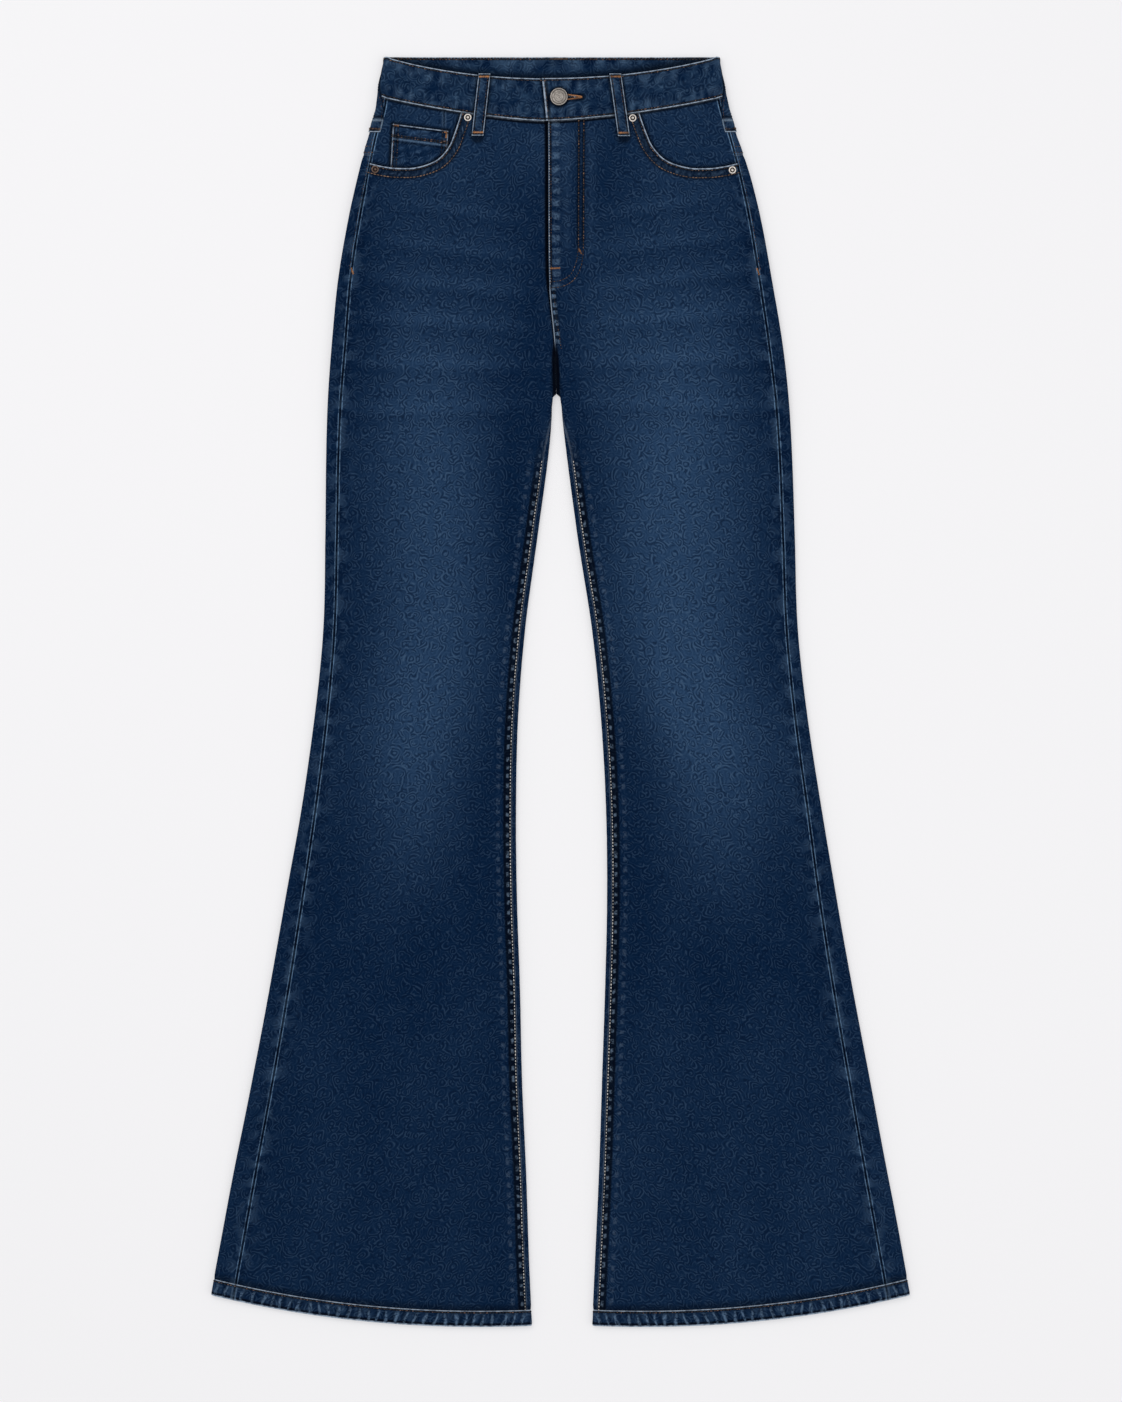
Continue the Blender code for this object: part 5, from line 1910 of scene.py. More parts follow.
class Group(Nodes):
    """A node group, with its inputs as values."""

    def __init__(
        self, name: str, inputs: dict[str, float | int | str], outputs: Sequence[str], kind: str = "Shader",
        gives: str = "Float",
    ) -> None:
        """Makes the sockets.

        Args:
            name: the group's name.
            inputs: each input's usual value, or its type where it has none.
            outputs: the outputs' names.
            kind: Shader or Geometry.
            gives: the outputs' type.
        """
        super().__init__(bpy.data.node_groups.new(name, f"{kind}NodeTree"))
        face = self.tree.interface
        for key, value in inputs.items():
            if isinstance(value, str):
                face.new_socket(key, in_out="INPUT", socket_type=f"NodeSocket{value}")
                continue
            what = "Int" if isinstance(value, int) else "Float"
            socket = face.new_socket(key, in_out="INPUT", socket_type=f"NodeSocket{what}")
            socket.default_value = value
        for key in outputs:
            face.new_socket(key, in_out="OUTPUT", socket_type=f"NodeSocket{gives}")
        given = self.tree.nodes.new("NodeGroupInput")
        self.given = {socket.name: Value(self, socket) for socket in given.outputs}
        self.done = self.tree.nodes.new("NodeGroupOutput")

    def result(self, **values: Value) -> bpy.types.NodeTree:
        """The group's tree, with its outputs joined.

        Args:
            values: a value for each output.

        Returns:
            The tree.
        """
        for key, value in values.items():
            self.put(self.done, key, value)
        return self.tree


class Repeater:
    """A Geometry Nodes tree that lays small rounded pieces along lines: stitches, bartacks and zip teeth."""

    def __init__(self) -> None:
        """Builds the tree: resampled lines, a scaled bead on each point, realized, with its material."""
        inputs = {
            "Lines": "Geometry", "Pitch": 0.003, "Length": 0.0024, "Width": 0.0006, "Height": 0.0005,
            "Turn": 0.0, "Uneven": 0.1, "Seed": 1, "Material": "Material",
        }
        n = Group("along_lines", inputs, ("Pieces",), "Geometry", "Geometry")
        given = n.given
        curve = n.add("GeometryNodeMeshToCurve", {"Mesh": given["Lines"]}, "Curve")
        even = {"Curve": curve, "Length": given["Pitch"]}
        even = n.add("GeometryNodeResampleCurve", even, "Curve", mode="LENGTH")
        bead = n.add("GeometryNodeMeshUVSphere", {"Segments": 6, "Rings": 4, "Radius": 0.5}, "Mesh")
        tangent = n.add("GeometryNodeInputTangent", {}, "Tangent")
        aim = n.add("FunctionNodeAlignRotationToVector", {"Vector": tangent}, "Rotation", axis="X")
        swing = {"Rotation": aim, "Rotate By": n.add("CombineXYZ", {"Z": given["Turn"]})}
        swing = n.add("FunctionNodeRotateRotation", swing, "Rotation", rotation_space="LOCAL")
        size = n.add("CombineXYZ", {"X": given["Length"], "Y": given["Width"], "Z": given["Height"]})
        chance = {"Min": 1.0 - given["Uneven"], "Max": 1.0 + given["Uneven"], "Seed": given["Seed"]}
        chance = n.add("FunctionNodeRandomValue", chance, "Value", data_type="FLOAT")
        vary = n.add("VectorMath", {0: size, "Scale": chance}, operation="SCALE")
        put = {"Points": even, "Instance": bead, "Rotation": swing, "Scale": vary}
        put = n.add("GeometryNodeInstanceOnPoints", put, "Instances")
        real = n.add("GeometryNodeRealizeInstances", {"Geometry": put}, "Geometry")
        dressed = {"Geometry": real, "Material": given["Material"]}
        self.tree = n.result(Pieces=n.add("GeometryNodeSetMaterial", dressed, "Geometry"))
        self.inputs = {
            item.name: item.identifier
            for item in self.tree.interface.items_tree
            if item.item_type == "SOCKET" and item.in_out == "INPUT"
        }

    def lay(
        self, name: str, lines: Sequence[Array], bead: Bead, material: bpy.types.Material, seed: int
    ) -> bpy.types.Object:
        """The beads along every line, as one plain mesh.

        Args:
            name: the object's name.
            lines: the points of each line.
            bead: what is repeated.
            material: its material.
            seed: picks the unevenness.

        Returns:
            The object.
        """
        edges, start = [], 0
        for line in lines:
            edges += [(start + i, start + i + 1) for i in range(len(line) - 1)]
            start += len(line)
        guide = bpy.data.meshes.new(name)
        guide.from_pydata(np.concatenate(lines).tolist(), edges, [])
        laid = bpy.data.objects.new(name, guide)
        bpy.context.scene.collection.objects.link(laid)
        nodes = laid.modifiers.new("beads", "NODES")
        nodes.node_group = self.tree
        given = {key.capitalize(): value for key, value in asdict(bead).items()}
        given |= {"Turn": math.radians(bead.turn), "Seed": seed, "Material": material}
        for key, value in given.items():
            nodes[self.inputs[key]] = value
        laid.update_tag()
        graph = bpy.context.evaluated_depsgraph_get()
        graph.update()
        solid = bpy.data.meshes.new_from_object(laid.evaluated_get(graph))
        laid.modifiers.remove(nodes)
        laid.data = solid
        solid.shade_smooth()
        if not solid.polygons:
            raise RuntimeError(f"{name}: nothing was laid")
        return laid


def edge_line(
    cloth: Cloth, edge: str, inset: float, start: float = 0.0, end: float = 1.0, lift: float = 0.00012
) -> Array:
    """Points on the face at a distance inside an edge, from one share of the edge to another.

    Args:
        cloth: the cloth.
        edge: the edge's mark.
        inset: how far inside the edge.
        start: share of the edge where the line starts.
        end: and where it ends.
        lift: how far it stands over the face.

    Returns:
        x, y, z of each point.
    """
    marks = cloth.distances()[edge]
    points = cloth.points + cloth.out * lift
    along_rows = edge in ("first_edge", "last_edge")
    if not along_rows:
        marks, points = marks.T, points.transpose(1, 0, 2)
    if edge in ("last_edge", "foot_edge"):
        marks, points = marks[:, ::-1], points[:, ::-1]
    line = np.empty((len(marks), 3))
    for i, (mark, row) in enumerate(zip(marks, points)):
        line[i] = [np.interp(inset, mark, row[:, axis]) for axis in range(3)]
    low, high = int(round(start * (len(line) - 1))), int(round(end * (len(line) - 1)))
    return line[low: high + 1]


class Ground:
    """The finished cloth under a line of thread that is given by its place seen from above."""

    def __init__(self, *pieces: bpy.types.Object) -> None:
        """Keeps each piece's surface.

        Args:
            pieces: the finished pieces.
        """
        self.trees = []
        for piece in pieces:
            corners = [v.co.copy() for v in piece.data.vertices]
            self.trees.append(BVHTree.FromPolygons(corners, [p.vertices[:] for p in piece.data.polygons]))

    def settle(self, flat: Sequence[Place], lift: float = 0.00015) -> Array:
        """Points just over the highest surface at each (x, down) that has one.

        Args:
            flat: (x, down) of each point.
            lift: how far it stands over the face.

        Returns:
            x, y, z of each point.
        """
        found = []
        for x, down in flat:
            start = Vector((x, PATTERN.origin - down, 0.05))
            hits = [tree.ray_cast(start, Vector((0, 0, -1)))[0] for tree in self.trees]
            heights = [hit.z for hit in hits if hit is not None]
            if heights:
                found.append((x, PATTERN.origin - down, max(heights) + lift))
        return np.array(found)


def smooth_line(corners: Sequence[tuple[float, float]], step: float = 0.0012) -> list[tuple[float, float]]:
    """A smooth line through corners in millimetres, as points a step apart in metres.

    Args:
        corners: (x, down), in millimetres.
        step: from point to point, in metres.

    Returns:
        (x, down) of each point, in metres.
    """
    given = np.array(corners, float) * MM
    padded = np.vstack([2 * given[0] - given[1], given, 2 * given[-1] - given[-2]])
    points = []
    for i in range(1, len(padded) - 2):
        a, b, c, d = padded[i - 1: i + 3]
        count = max(int(np.linalg.norm(c - b) / step), 1)
        for t in np.arange(count) / count:
            points.append(tuple(0.5 * (
                2 * b + (c - a) * t + (2 * a - 5 * b + 4 * c - d) * t**2 + (3 * b - a - 3 * c + d) * t**3
            )))
    return points + [tuple(given[-1])]


# ------------------------------------------------------------------------------------------------- finishes


class Effects:
    """The shader node groups that the cloth's finishes share."""

    def __init__(self) -> None:
        """Builds each group once."""
        self.weave = self.build_weave()
        self.crackle = self.build_crackle()
        self.edge = self.build_edge()
        self.beads = self.build_beads()

    def build_weave(self) -> bpy.types.NodeTree:
        """Twill, slub and grain on the cut cloth, and the roughness and puckers that its edges wear by.

        Returns:
            The group's tree.
        """
        outputs = ("Height", "Grain", "Slub", "Rough", "Wave")
        n = Group("weave", {"Place": "Vector", "Twill": 1100.0}, outputs)
        place = n.given["Place"]
        slant = n.add("SeparateXYZ", {0: place}, 1) * 0.55 + n.add("SeparateXYZ", {0: place})
        wobble = n.noise(place, 90.0) * 0.0016 + slant
        twill = n.math("SINE", wobble * (n.given["Twill"] * FULL_TURN))
        slub = n.noise(n.vector("MULTIPLY", place, (1.0, 0.10, 1.0)), 620.0, 2.0, 0.6)
        grain = n.noise(n.vector("MULTIPLY", place, (1.0, 0.62, 1.0)), 900.0, 2.0, 0.7)
        return n.result(
            Height=twill * 0.22 + (grain * 0.9 + slub), Grain=n.span(grain, 0.30, 0.70),
            Slub=n.span(slub, 0.34, 0.68), Rough=n.noise(place, 230.0, 3.0, 0.65),
            Wave=n.span(n.noise(place, 88.0, 1.0), 0.38, 0.64, -1.0, 1.0),
        )

    def build_crackle(self) -> bpy.types.NodeTree:
        """Fine meandering lines of worn indigo: curls of even pitch, pale crests with dark hollows between.

        Returns:
            The group's tree.
        """
        n = Group("crackle", {"Place": "Vector", "Pitch": 0.0027}, ("Lines", "Hollows"))
        place = n.given["Place"]
        waves = []
        for cells, bend, reach, offset in ((86.0, 105.0, 0.0052, 0.0), (125.0, 165.0, 0.0034, 5.3)):
            warp = n.vector("SUBTRACT", n.noise(place, bend, 0.0, out=1), (0.5, 0.5, 0.5))
            moved = n.vector("ADD", place, n.vector("MULTIPLY", warp, (reach, reach, 0.0)))
            inputs = {"Vector": n.vector("ADD", moved, (offset, offset, 0.0)), "Scale": cells}
            cell = n.add("TexVoronoi", inputs, "Distance", voronoi_dimensions="2D")
            waves.append(n.math("SINE", cell / (n.given["Pitch"] * cells) * FULL_TURN))
        which = n.span(n.noise(place, 95.0, 1.0), 0.48, 0.52)
        wave = waves[0] + which * (waves[1] - waves[0])
        patch = n.span(n.noise(n.vector("ADD", place, (0.0, 1.0, 0.0)), 150.0, 1.0), 0.36, 0.58, 0.25, 1.0)
        crests, hollows = n.span(wave, 0.35, 1.0), n.span(wave, -1.0, 0.0, 1.0, 0.0)
        return n.result(Lines=crests * patch, Hollows=hollows * patch)

    def build_edge(self) -> bpy.types.NodeTree:
        """A worn edge: Pale along its rim, Dark as painted shade in the ditch beside it, Blotch in seam
        puckers.

        Where Inset is over 0, the rim stands that far inside a seam painted dark as shade, with no ditch
        beside it.

        Returns:
            The group's tree.
        """
        inputs = {"Away": 0.0, "Rough": 0.5, "Wave": 0.0, "Inset": 0.0, "Rim": 0.0010, "Least": 0.5}
        n = Group("edge_wear", inputs, ("Pale", "Dark", "Blotch"))
        away, rough, inset = n.given["Away"], n.given["Rough"], n.given["Inset"]
        inside = (away - inset) / n.given["Rim"]
        worn = n.span(inside - rough * 0.9, 0.1, 0.9, 1.0, 0.0) * n.span(inside, -0.3, 0.1)
        ditch = n.span(n.math("ABSOLUTE", inside - 2.1), 0.35, 1.35, 1.0, 0.0)
        seam = n.span(inside, -0.5, -0.1, 1.0, 0.0)
        inset_share = n.math("GREATER_THAN", inset, 1e-5)
        fall_off = n.math("EXPONENT", away / -0.0055)
        return n.result(
            Pale=worn * n.span(rough, 0.34, 0.58, n.given["Least"], 1.0),
            Dark=n.math("MAXIMUM", ditch * (1.0 - inset_share), seam * inset_share),
            Blotch=n.given["Wave"] * fall_off,
        )

    def build_beads(self) -> bpy.types.NodeTree:
        """Small pale puckers at even steps along a seam, at a distance from it.

        Returns:
            The group's tree.
        """
        inputs = {
            "Away": 0.0, "Run": 0.0, "Place": "Vector", "At": 0.0034, "Half": 0.0016, "Pitch": 0.0088,
            "Low": -0.1,
        }
        n = Group("seam_beads", inputs, ("Beads", "Strip"))
        place, beyond = n.given["Place"], n.given["Away"] - n.given["At"]
        turns = (n.given["Run"] + n.noise(place, 45.0) * 0.011) / n.given["Pitch"]
        spot = n.span(n.math("SINE", turns * FULL_TURN) - n.given["Low"], 0.0, 0.75)
        across = n.span(n.math("ABSOLUTE", beyond) / n.given["Half"], 0.35, 1.15, 1.0, 0.0)
        grit = n.span(n.noise(place, 420.0, 2.0, 0.7), 0.3, 0.62)
        return n.result(Beads=spot * across * grit, Strip=n.span(beyond, 0.0028, 0.0048, 1.0, 0.0))


def new_finish(name: str) -> tuple[bpy.types.Material, Nodes, bpy.types.Node]:
    """A new material, its nodes and its Principled shader.

    Args:
        name: the material's name.

    Returns:
        The material, its nodes and its shader.
    """
    material = bpy.data.materials.new(name)
    material.use_nodes = True
    return material, Nodes(material.node_tree), material.node_tree.nodes["Principled BSDF"]


def raise_face(n: Nodes, shader: bpy.types.Node, height: Value, strength: float, distance: float) -> None:
    """Joins a height to the shader's normal."""
    inputs = {"Strength": strength, "Distance": distance, "Height": height}
    n.put(shader, "Normal", n.add("Bump", inputs))


Colour = tuple[float, float, float, float]
Edges = tuple[float, float, float, float]
INDIGO: Colour = (0.0008, 0.0052, 0.0210, 1)
# Near-black painted shade: cast shadows, and the shade in ditches, seam gaps and stitched grooves.
PAINTED_SHADE: Colour = (0.0006, 0.0012, 0.0036, 1)
CORE: Colour = (0.3500, 0.4250, 0.5200, 1)
LINE: Colour = (0.1700, 0.3000, 0.4700, 1)
CREST: Colour = (0.0750, 0.1350, 0.2200, 1)
DIRT: Colour = (0.0120, 0.0180, 0.0300, 1)
# Widths and insets of the worn rims at the first, last, top and foot edges.
THIN_SIDE: Edges = (0.0006, 0.0009, 0.0009, 0.0009)
LEG_SEAM: Edges = (0.0011, 0.0, 0.0, 0.0)
HIP_SEAM: Edges = (0.0010, 0.0, 0.0, 0.0)


class Paint:
    """A denim's colour while it is built up, layer over layer, with the marks that its layers read."""

    def __init__(self, n: Nodes, effects: Effects, twill: float) -> None:
        """Reads the piece's own map and starts the shared effects.

        Args:
            n: the material's nodes.
            effects: the shared node groups.
            twill: lines of twill in a metre.
        """
        self.n, self.effects = n, effects
        self.place = n.add("UVMap", {}, uv_map="cloth")
        self.weave = n.group(effects.weave, Place=self.place, Twill=twill)
        self.across, self.run = (n.add("SeparateXYZ", {0: self.place}, out) for out in (0, 1))
        self.last = n.mark("last_edge")
        self.colour: Value | Colour = INDIGO

    def over(self, share: Value, colour: Value | Colour) -> None:
        """Lays a colour over what is there, by its share."""
        self.colour = self.n.mix(share, self.colour, colour)

    def beads(self, **given: Value | float) -> dict[str, Value]:
        """A row of puckers beside the last edge, or beside the one given as Away.

        Args:
            given: the group's inputs.

        Returns:
            The group's outputs, by name.
        """
        return self.n.group(
            self.effects.beads, **({"Away": self.last, "Run": self.run, "Place": self.place} | given)
        )


@dataclass(frozen=True)
class Denim:
    """A finish of washed indigo denim. Colours are linear; the amounts run from 0 to 1.

    rims and blotches give the wear at the first, last, top and foot edges, and rims also the painted shade
    in the ditch beside each rim; widths the rims' widths, and insets how far inside a seam painted dark
    as shade the rim stands. fly is 1 on the panel that laps over at the fly, with painted shade in its ditch
    and grooves, and -1 on the one below, which takes the lap's painted shadow; ropes are the puckers across
    a hem. beads are the distance of a row of pale puckers from the last edge, or 0 for none; the cloth
    between it and the edge is painted darker, as shade.
    """

    name: str
    deep: Colour = (0.0014, 0.0122, 0.0415, 1)
    mid: Colour = (0.0185, 0.0500, 0.1135, 1)
    pale: Colour = (0.1700, 0.2450, 0.3450, 1)
    rubbed: Colour = (0.1150, 0.1900, 0.2950, 1)
    back: Colour = (0.0300, 0.0600, 0.1100, 1)
    back_share: float = 0.6
    crackle: float = 1.15
    grain: float = 0.08
    rims: Edges = (0.5,) * 4
    blotches: Edges = (0.35, 0.25, 0.2, 0.2)
    insets: Edges = (0.0,) * 4
    widths: Edges = (0.0009,) * 4
    fly: float = 0.0
    ropes: float = 0.0
    beads: float = 0.0
    roughness: float = 0.86
    twill: float = 1100.0

    def build(self, effects: Effects) -> bpy.types.Material:
        """The material, from the piece's marks and the shared effects.

        Args:
            effects: the shared node groups.

        Returns:
            The material.
        """
        material, n, shader = new_finish(self.name)
        paint = Paint(n, effects, self.twill)
        fade, lines = self.cloth(paint)
        self.worn_edges(paint)
        if self.beads:
            self.seam_puckers(paint)
        if self.fly > 0:
            self.fly_over(paint)
        elif self.fly < 0:
            # Painted shadow of the lapping fly by the centre edge, narrowing below the fly, gone by the
            # crotch.
            reach = paint.last / n.span(paint.run, 0.190, 0.225, 0.0044, 0.0016)
            below = n.span(paint.run, 0.262, 0.275, 1.0, 0.0)
            paint.over(n.span(reach, 0.5, 1.0, 0.95, 0.0) * below, PAINTED_SHADE)
        if self.ropes:
            row = paint.beads(
                Away=n.mark("top_edge"), Run=paint.across, At=0.0082, Half=0.0062, Pitch=0.0088, Low=0.30
            )
            paint.over(row["Beads"] * self.ropes, self.rubbed)
        paint.over(n.mark("inner_face") * self.back_share, self.back)
        paint.over(n.mark("wear") * n.span(paint.weave["Grain"], 0.0, 1.0, 0.45, 0.95), self.rubbed)
        paint.over(n.mark("shadow") * 0.94, PAINTED_SHADE)
        n.put(shader, "Base Color", paint.colour)
        n.put(shader, "Roughness", n.span(fade, 0.0, 1.0, self.roughness - 0.08, self.roughness + 0.05))
        n.put(shader, "Specular IOR Level", 0.02)
        raise_face(n, shader, lines * 0.8 + paint.weave["Height"], 0.55, 0.00035)
        material.diffuse_color = self.mid
        return material

    def cloth(self, paint: Paint) -> tuple[Value, Value]:
        """Lays the dyed cloth: its fade, crackle, grain and slub.

        Args:
            paint: the colour so far.

        Returns:
            The fade, and the crackle's lines.
        """
        n = paint.n
        worn = n.group(paint.effects.crackle, Place=paint.place)
        fade = n.math("ADD", n.mark("fade"), (n.noise(paint.place, 30.0) - 0.5) * 0.14, clamp=True)
        paint.colour = n.mix(fade, self.deep, self.mid)
        paint.over(worn["Lines"] * (fade * 0.26 * self.crackle + 0.16 * self.crackle), CREST)
        paint.over(worn["Hollows"] * (0.55 * self.crackle), INDIGO)
        paint.over(paint.weave["Grain"] * (fade * 0.10 + 0.02) * (self.grain / 0.30), self.pale)
        paint.over((1.0 - paint.weave["Slub"]) * (0.9 * self.grain), self.deep)
        return fade, worn["Lines"]

    def worn_edges(self, paint: Paint) -> None:
        """Lays the wear along each edge, and painted shade beside each rim.

        Args:
            paint: the colour so far.
        """
        n, edges = paint.n, ("first_edge", "last_edge", "top_edge", "foot_edge")
        rows = zip(edges, self.rims, self.blotches, self.insets, self.widths)
        for edge, rim, blotch, inset, width in rows:
            if rim == 0.0 and blotch == 0.0:
                continue
            wear = n.group(
                paint.effects.edge, Away=n.mark(edge), Rough=paint.weave["Rough"], Wave=paint.weave["Wave"],
                Inset=inset, Rim=width, Least=0.2 if inset else 0.5,
            )
            dark = n.math("MAXIMUM", wear["Blotch"] * -1.0, 0.0) * blotch
            paint.over(n.math("MAXIMUM", wear["Blotch"], 0.0) * (0.42 * blotch), CREST)
            paint.over(n.math("MULTIPLY", dark, 0.95, clamp=True), INDIGO)
            # Dark: painted shade in the ditch beside the rim, and in the seam's gap where the rim is inset.
            paint.over(wear["Dark"] * min(rim * 1.2, 0.85), PAINTED_SHADE)
            paint.over(wear["Pale"] * min(rim * 1.25, 1.0), LINE if inset else CORE)

    def seam_puckers(self, paint: Paint) -> None:
        """Lays two rows of puckers beside the leg's inseam, and painted shade from the seam past the first
        row.

        Args:
            paint: the colour so far.
        """
        low = paint.n.span(paint.run, 0.33, 0.40)
        row = paint.beads(At=self.beads)
        outer = paint.beads(At=self.beads + 0.0085, Half=0.0022, Pitch=0.0105)
        paint.over(row["Strip"] * low * 0.80, PAINTED_SHADE)
        paint.over(row["Beads"] * low * 0.50, self.pale)
        paint.over(outer["Beads"] * low * 0.16, self.pale)

    def fly_over(self, paint: Paint) -> None:
        """Lays the lapping fly's edge: its puckers, and painted shade in its ditch and stitched grooves.

        Args:
            paint: the colour so far.
        """
        n, away, run = paint.n, paint.last, paint.run
        above = n.span(run, 0.203, 0.211, 1.0, 0.0) * n.span(run, 0.056, 0.060)
        ditch = n.span(n.math("ABSOLUTE", away - 0.0023), 0.0004, 0.0011, 0.80, 0.0)
        paint.over(ditch * above, PAINTED_SHADE)
        row = paint.beads(At=0.0068, Half=0.0042, Pitch=0.0104, Low=-0.35)
        paint.over(row["Beads"] * above * 0.42, self.rubbed)
        for seam in (0.02856, 0.03306):
            groove = n.span(n.math("ABSOLUTE", run * 0.0124 + away - seam), 0.0007, 0.0018, 0.62, 0.0)
            paint.over(groove * n.span(run, 0.164, 0.176, 1.0, 0.0), PAINTED_SHADE)
        # Below the fly: painted shade beside the seam, and a worn rim along the edge.
        below = n.span(run, 0.203, 0.211) * n.span(run, 0.252, 0.264, 1.0, 0.0)
        paint.over(n.span(away, 0.0050, 0.0066, 0.70, 0.0) * below, PAINTED_SHADE)
        paint.over(n.span(away, 0.0004, 0.0011, 0.75, 0.0) * below, CORE)
        low = paint.beads(At=0.0034, Half=0.0024, Pitch=0.0084, Low=-0.3)
        paint.over(low["Beads"] * below * 0.80, self.rubbed)


@dataclass(frozen=True)
class Yarn:
    """Sewing thread, or the zip's plastic teeth."""

    name: str
    colour: Colour
    dull: float = 0.35
    roughness: float = 0.75
    worn: bool = False

    def build(self) -> bpy.types.Material:
        """The material: uneven dye, dirt from the indigo, and a fine twist.

        Returns:
            The material.
        """
        material, n, shader = new_finish(self.name)
        place = n.add("TexCoord", {}, "Object")
        if self.worn:
            dye = n.span(n.noise(place, 480.0, 1.0, 0.5, True), 0.50, 0.64)
        else:
            dye = n.span(n.noise(place, 160.0, 2.0, 0.6, True), 0.32, 0.66)
        dull = tuple(self.dull * c for c in self.colour[:3]) + (1.0,)
        dirt = n.span(n.noise(place, 55.0, 2.0, 0.6, True), 0.45, 0.72, 0.0, 0.6)
        n.put(shader, "Base Color", n.mix(dirt, n.mix(dye, dull, self.colour), DIRT))
        n.put(shader, "Roughness", n.span(dye, 0.0, 1.0, self.roughness + 0.15, self.roughness))
        raise_face(n, shader, n.noise(place, 2600.0, 1.0, 0.5, True), 0.4, 0.0001)
        return material


@dataclass(frozen=True)
class Pewter:
    """Aged metal: darker in the hollows and brushed bright on what stands proud."""

    name: str
    bright: Colour = (0.78, 0.72, 0.66, 1)
    dark: Colour = (0.030, 0.022, 0.018, 1)
    roughness: float = 0.42

    def build(self) -> bpy.types.Material:
        """The material, with tarnish and fine scratches in the object's own place.

        Returns:
            The material.
        """
        material, n, shader = new_finish(self.name)
        place = n.add("TexCoord", {}, "Object")
        tarnish = n.noise(place, 420.0, 3.0, 0.6, True)
        share = n.math("MULTIPLY", n.mark("tone"), n.span(tarnish, 0.30, 0.62, 0.82, 1.0), clamp=True)
        n.put(shader, "Base Color", n.mix(share, self.dark, self.bright))
        n.put(shader, "Metallic", 0.92)
        n.put(shader, "Roughness", n.span(tarnish, 0.3, 0.7, self.roughness + 0.2, self.roughness))
        raise_face(n, shader, n.noise(place, 1500.0, 3.0, 0.7, True), 0.5, 0.00012)
        return material


class Finishes:
    """Every material, built once: the cloths, threads and metals by name."""

    def __init__(self) -> None:
        """Builds the effects and the materials from them."""
        effects = Effects()
        # Wear, with painted shade beside each rim, at the first, last, top and foot edges; a leg panel's
        # first edge is its side seam.
        front = Denim(
            "denim_front_under", rims=(0.50, 0.10, 0.85, 0.0), blotches=(0.75, 0.20, 0.4, 0.1), beads=0.0034,
            insets=LEG_SEAM, widths=(0.0006, 0.0009, 0.0010, 0.0009), fly=-1.0,
        )
        back = Denim(
            "denim_back", rims=(0.46, 0.12, 0.14, 0.0), blotches=(0.75, 0.20, 0.2, 0.1),
            insets=LEG_SEAM, widths=THIN_SIDE,
        )
        yoke = Denim(
            "denim_yoke", rims=(0.56, 0.25, 0.20, 0.12), blotches=(0.35, 0.45, 0.3, 0.3),
            insets=HIP_SEAM, widths=THIN_SIDE,
        )
        band = Denim(
            "denim_waistband", rims=(0.55, 0.95, 0.90, 0.80), blotches=(0.4, 0.4, 0.9, 0.9),
            mid=(0.0175, 0.0460, 0.0980, 1), back_share=0.0, widths=(0.0009, 0.0016, 0.0009, 0.0009),
        )
        facing = Denim(
            "denim_facing", rims=(0.62, 0.0, 0.3, 0.0), blotches=(0.3, 0.0, 0.3, 0.0),
            insets=HIP_SEAM, widths=(0.0007, 0.0009, 0.0009, 0.0009),
        )
        patch = Denim("denim_pockets", rims=(0.50, 0.50, 0.60, 0.50), blotches=(0.6, 0.6, 0.5, 0.6))
        coin = Denim("denim_coin_pocket", rims=(0.55, 0.55, 0.70, 0.0), blotches=(0.6, 0.6, 0.6, 0.1))
        loop = Denim(
            "denim_loops", rims=(0.70, 0.70, 0.65, 0.65), blotches=(0.5,) * 4,
            mid=(0.0165, 0.0420, 0.0900, 1), widths=(0.0007, 0.0007, 0.0008, 0.0008),
        )
        side_loop = Denim(
            "denim_side_loops", rims=(0.0, 0.0, 0.50, 0.70), blotches=(0.5,) * 4,
            mid=(0.0150, 0.0390, 0.0850, 1), rubbed=(0.235, 0.315, 0.400, 1),
            widths=(0.0006, 0.0006, 0.0008, 0.0008),
        )
        hem = Denim(
            "denim_hem", rims=(0.0, 0.0, 0.75, 0.80), blotches=(0.0, 0.0, 0.3, 0.3),
            mid=(0.0185, 0.0440, 0.0880, 1), widths=(0.0009, 0.0009, 0.0008, 0.0012), ropes=0.72,
        )
        tape = Denim(
            "zip_tape", deep=(0.004, 0.006, 0.012, 1), mid=(0.010, 0.014, 0.026, 1),
            pale=(0.03, 0.04, 0.06, 1), back=(0.010, 0.014, 0.026, 1), crackle=0.0, rims=(0.1,) * 4,
            blotches=(0.0,) * 4, twill=700.0,
        )
        cloths = {
            "front_under": front, "front_over": replace(front, name="denim_front_over", fly=1.0),
            "back": back, "yoke": yoke, "band": band, "facing": facing, "patch": patch, "coin": coin,
            "loop": loop, "side_loop": side_loop, "hem": hem,
            "shield": Denim("denim_shield", rims=(0.2,) * 4), "tape": tape,
        }
        threads = (
            Yarn("thread_brown", (0.130, 0.070, 0.045, 1), 0.05, worn=True),
            Yarn("thread_rust", (0.160, 0.092, 0.064, 1), 0.045, worn=True),
            Yarn("thread_brown_gold", (0.235, 0.130, 0.072, 1), 0.06, worn=True),
            Yarn("thread_tan", (0.250, 0.148, 0.088, 1), 0.12),
            Yarn("thread_orange", (0.560, 0.250, 0.095, 1), 0.22),
            Yarn("thread_cream", (0.720, 0.690, 0.640, 1), 0.60),
            Yarn("thread_faded", (0.480, 0.520, 0.560, 1)),
            Yarn("zip_teeth", (0.10, 0.08, 0.05, 1), 0.35, 0.35),
        )
        metals = (
            Pewter("pewter"), Pewter("worn_pewter", (0.47, 0.43, 0.39, 1)),
            Pewter("dark_copper", (0.155, 0.105, 0.085, 1), (0.020, 0.012, 0.010, 1)),
        )
        self.cloth = {key: denim.build(effects) for key, denim in cloths.items()}
        self.thread = {yarn.name.removeprefix("thread_"): yarn.build() for yarn in threads}
        self.metal = {metal.name: metal.build() for metal in metals}


# -------------------------------------------------------------------------------------------------- the set


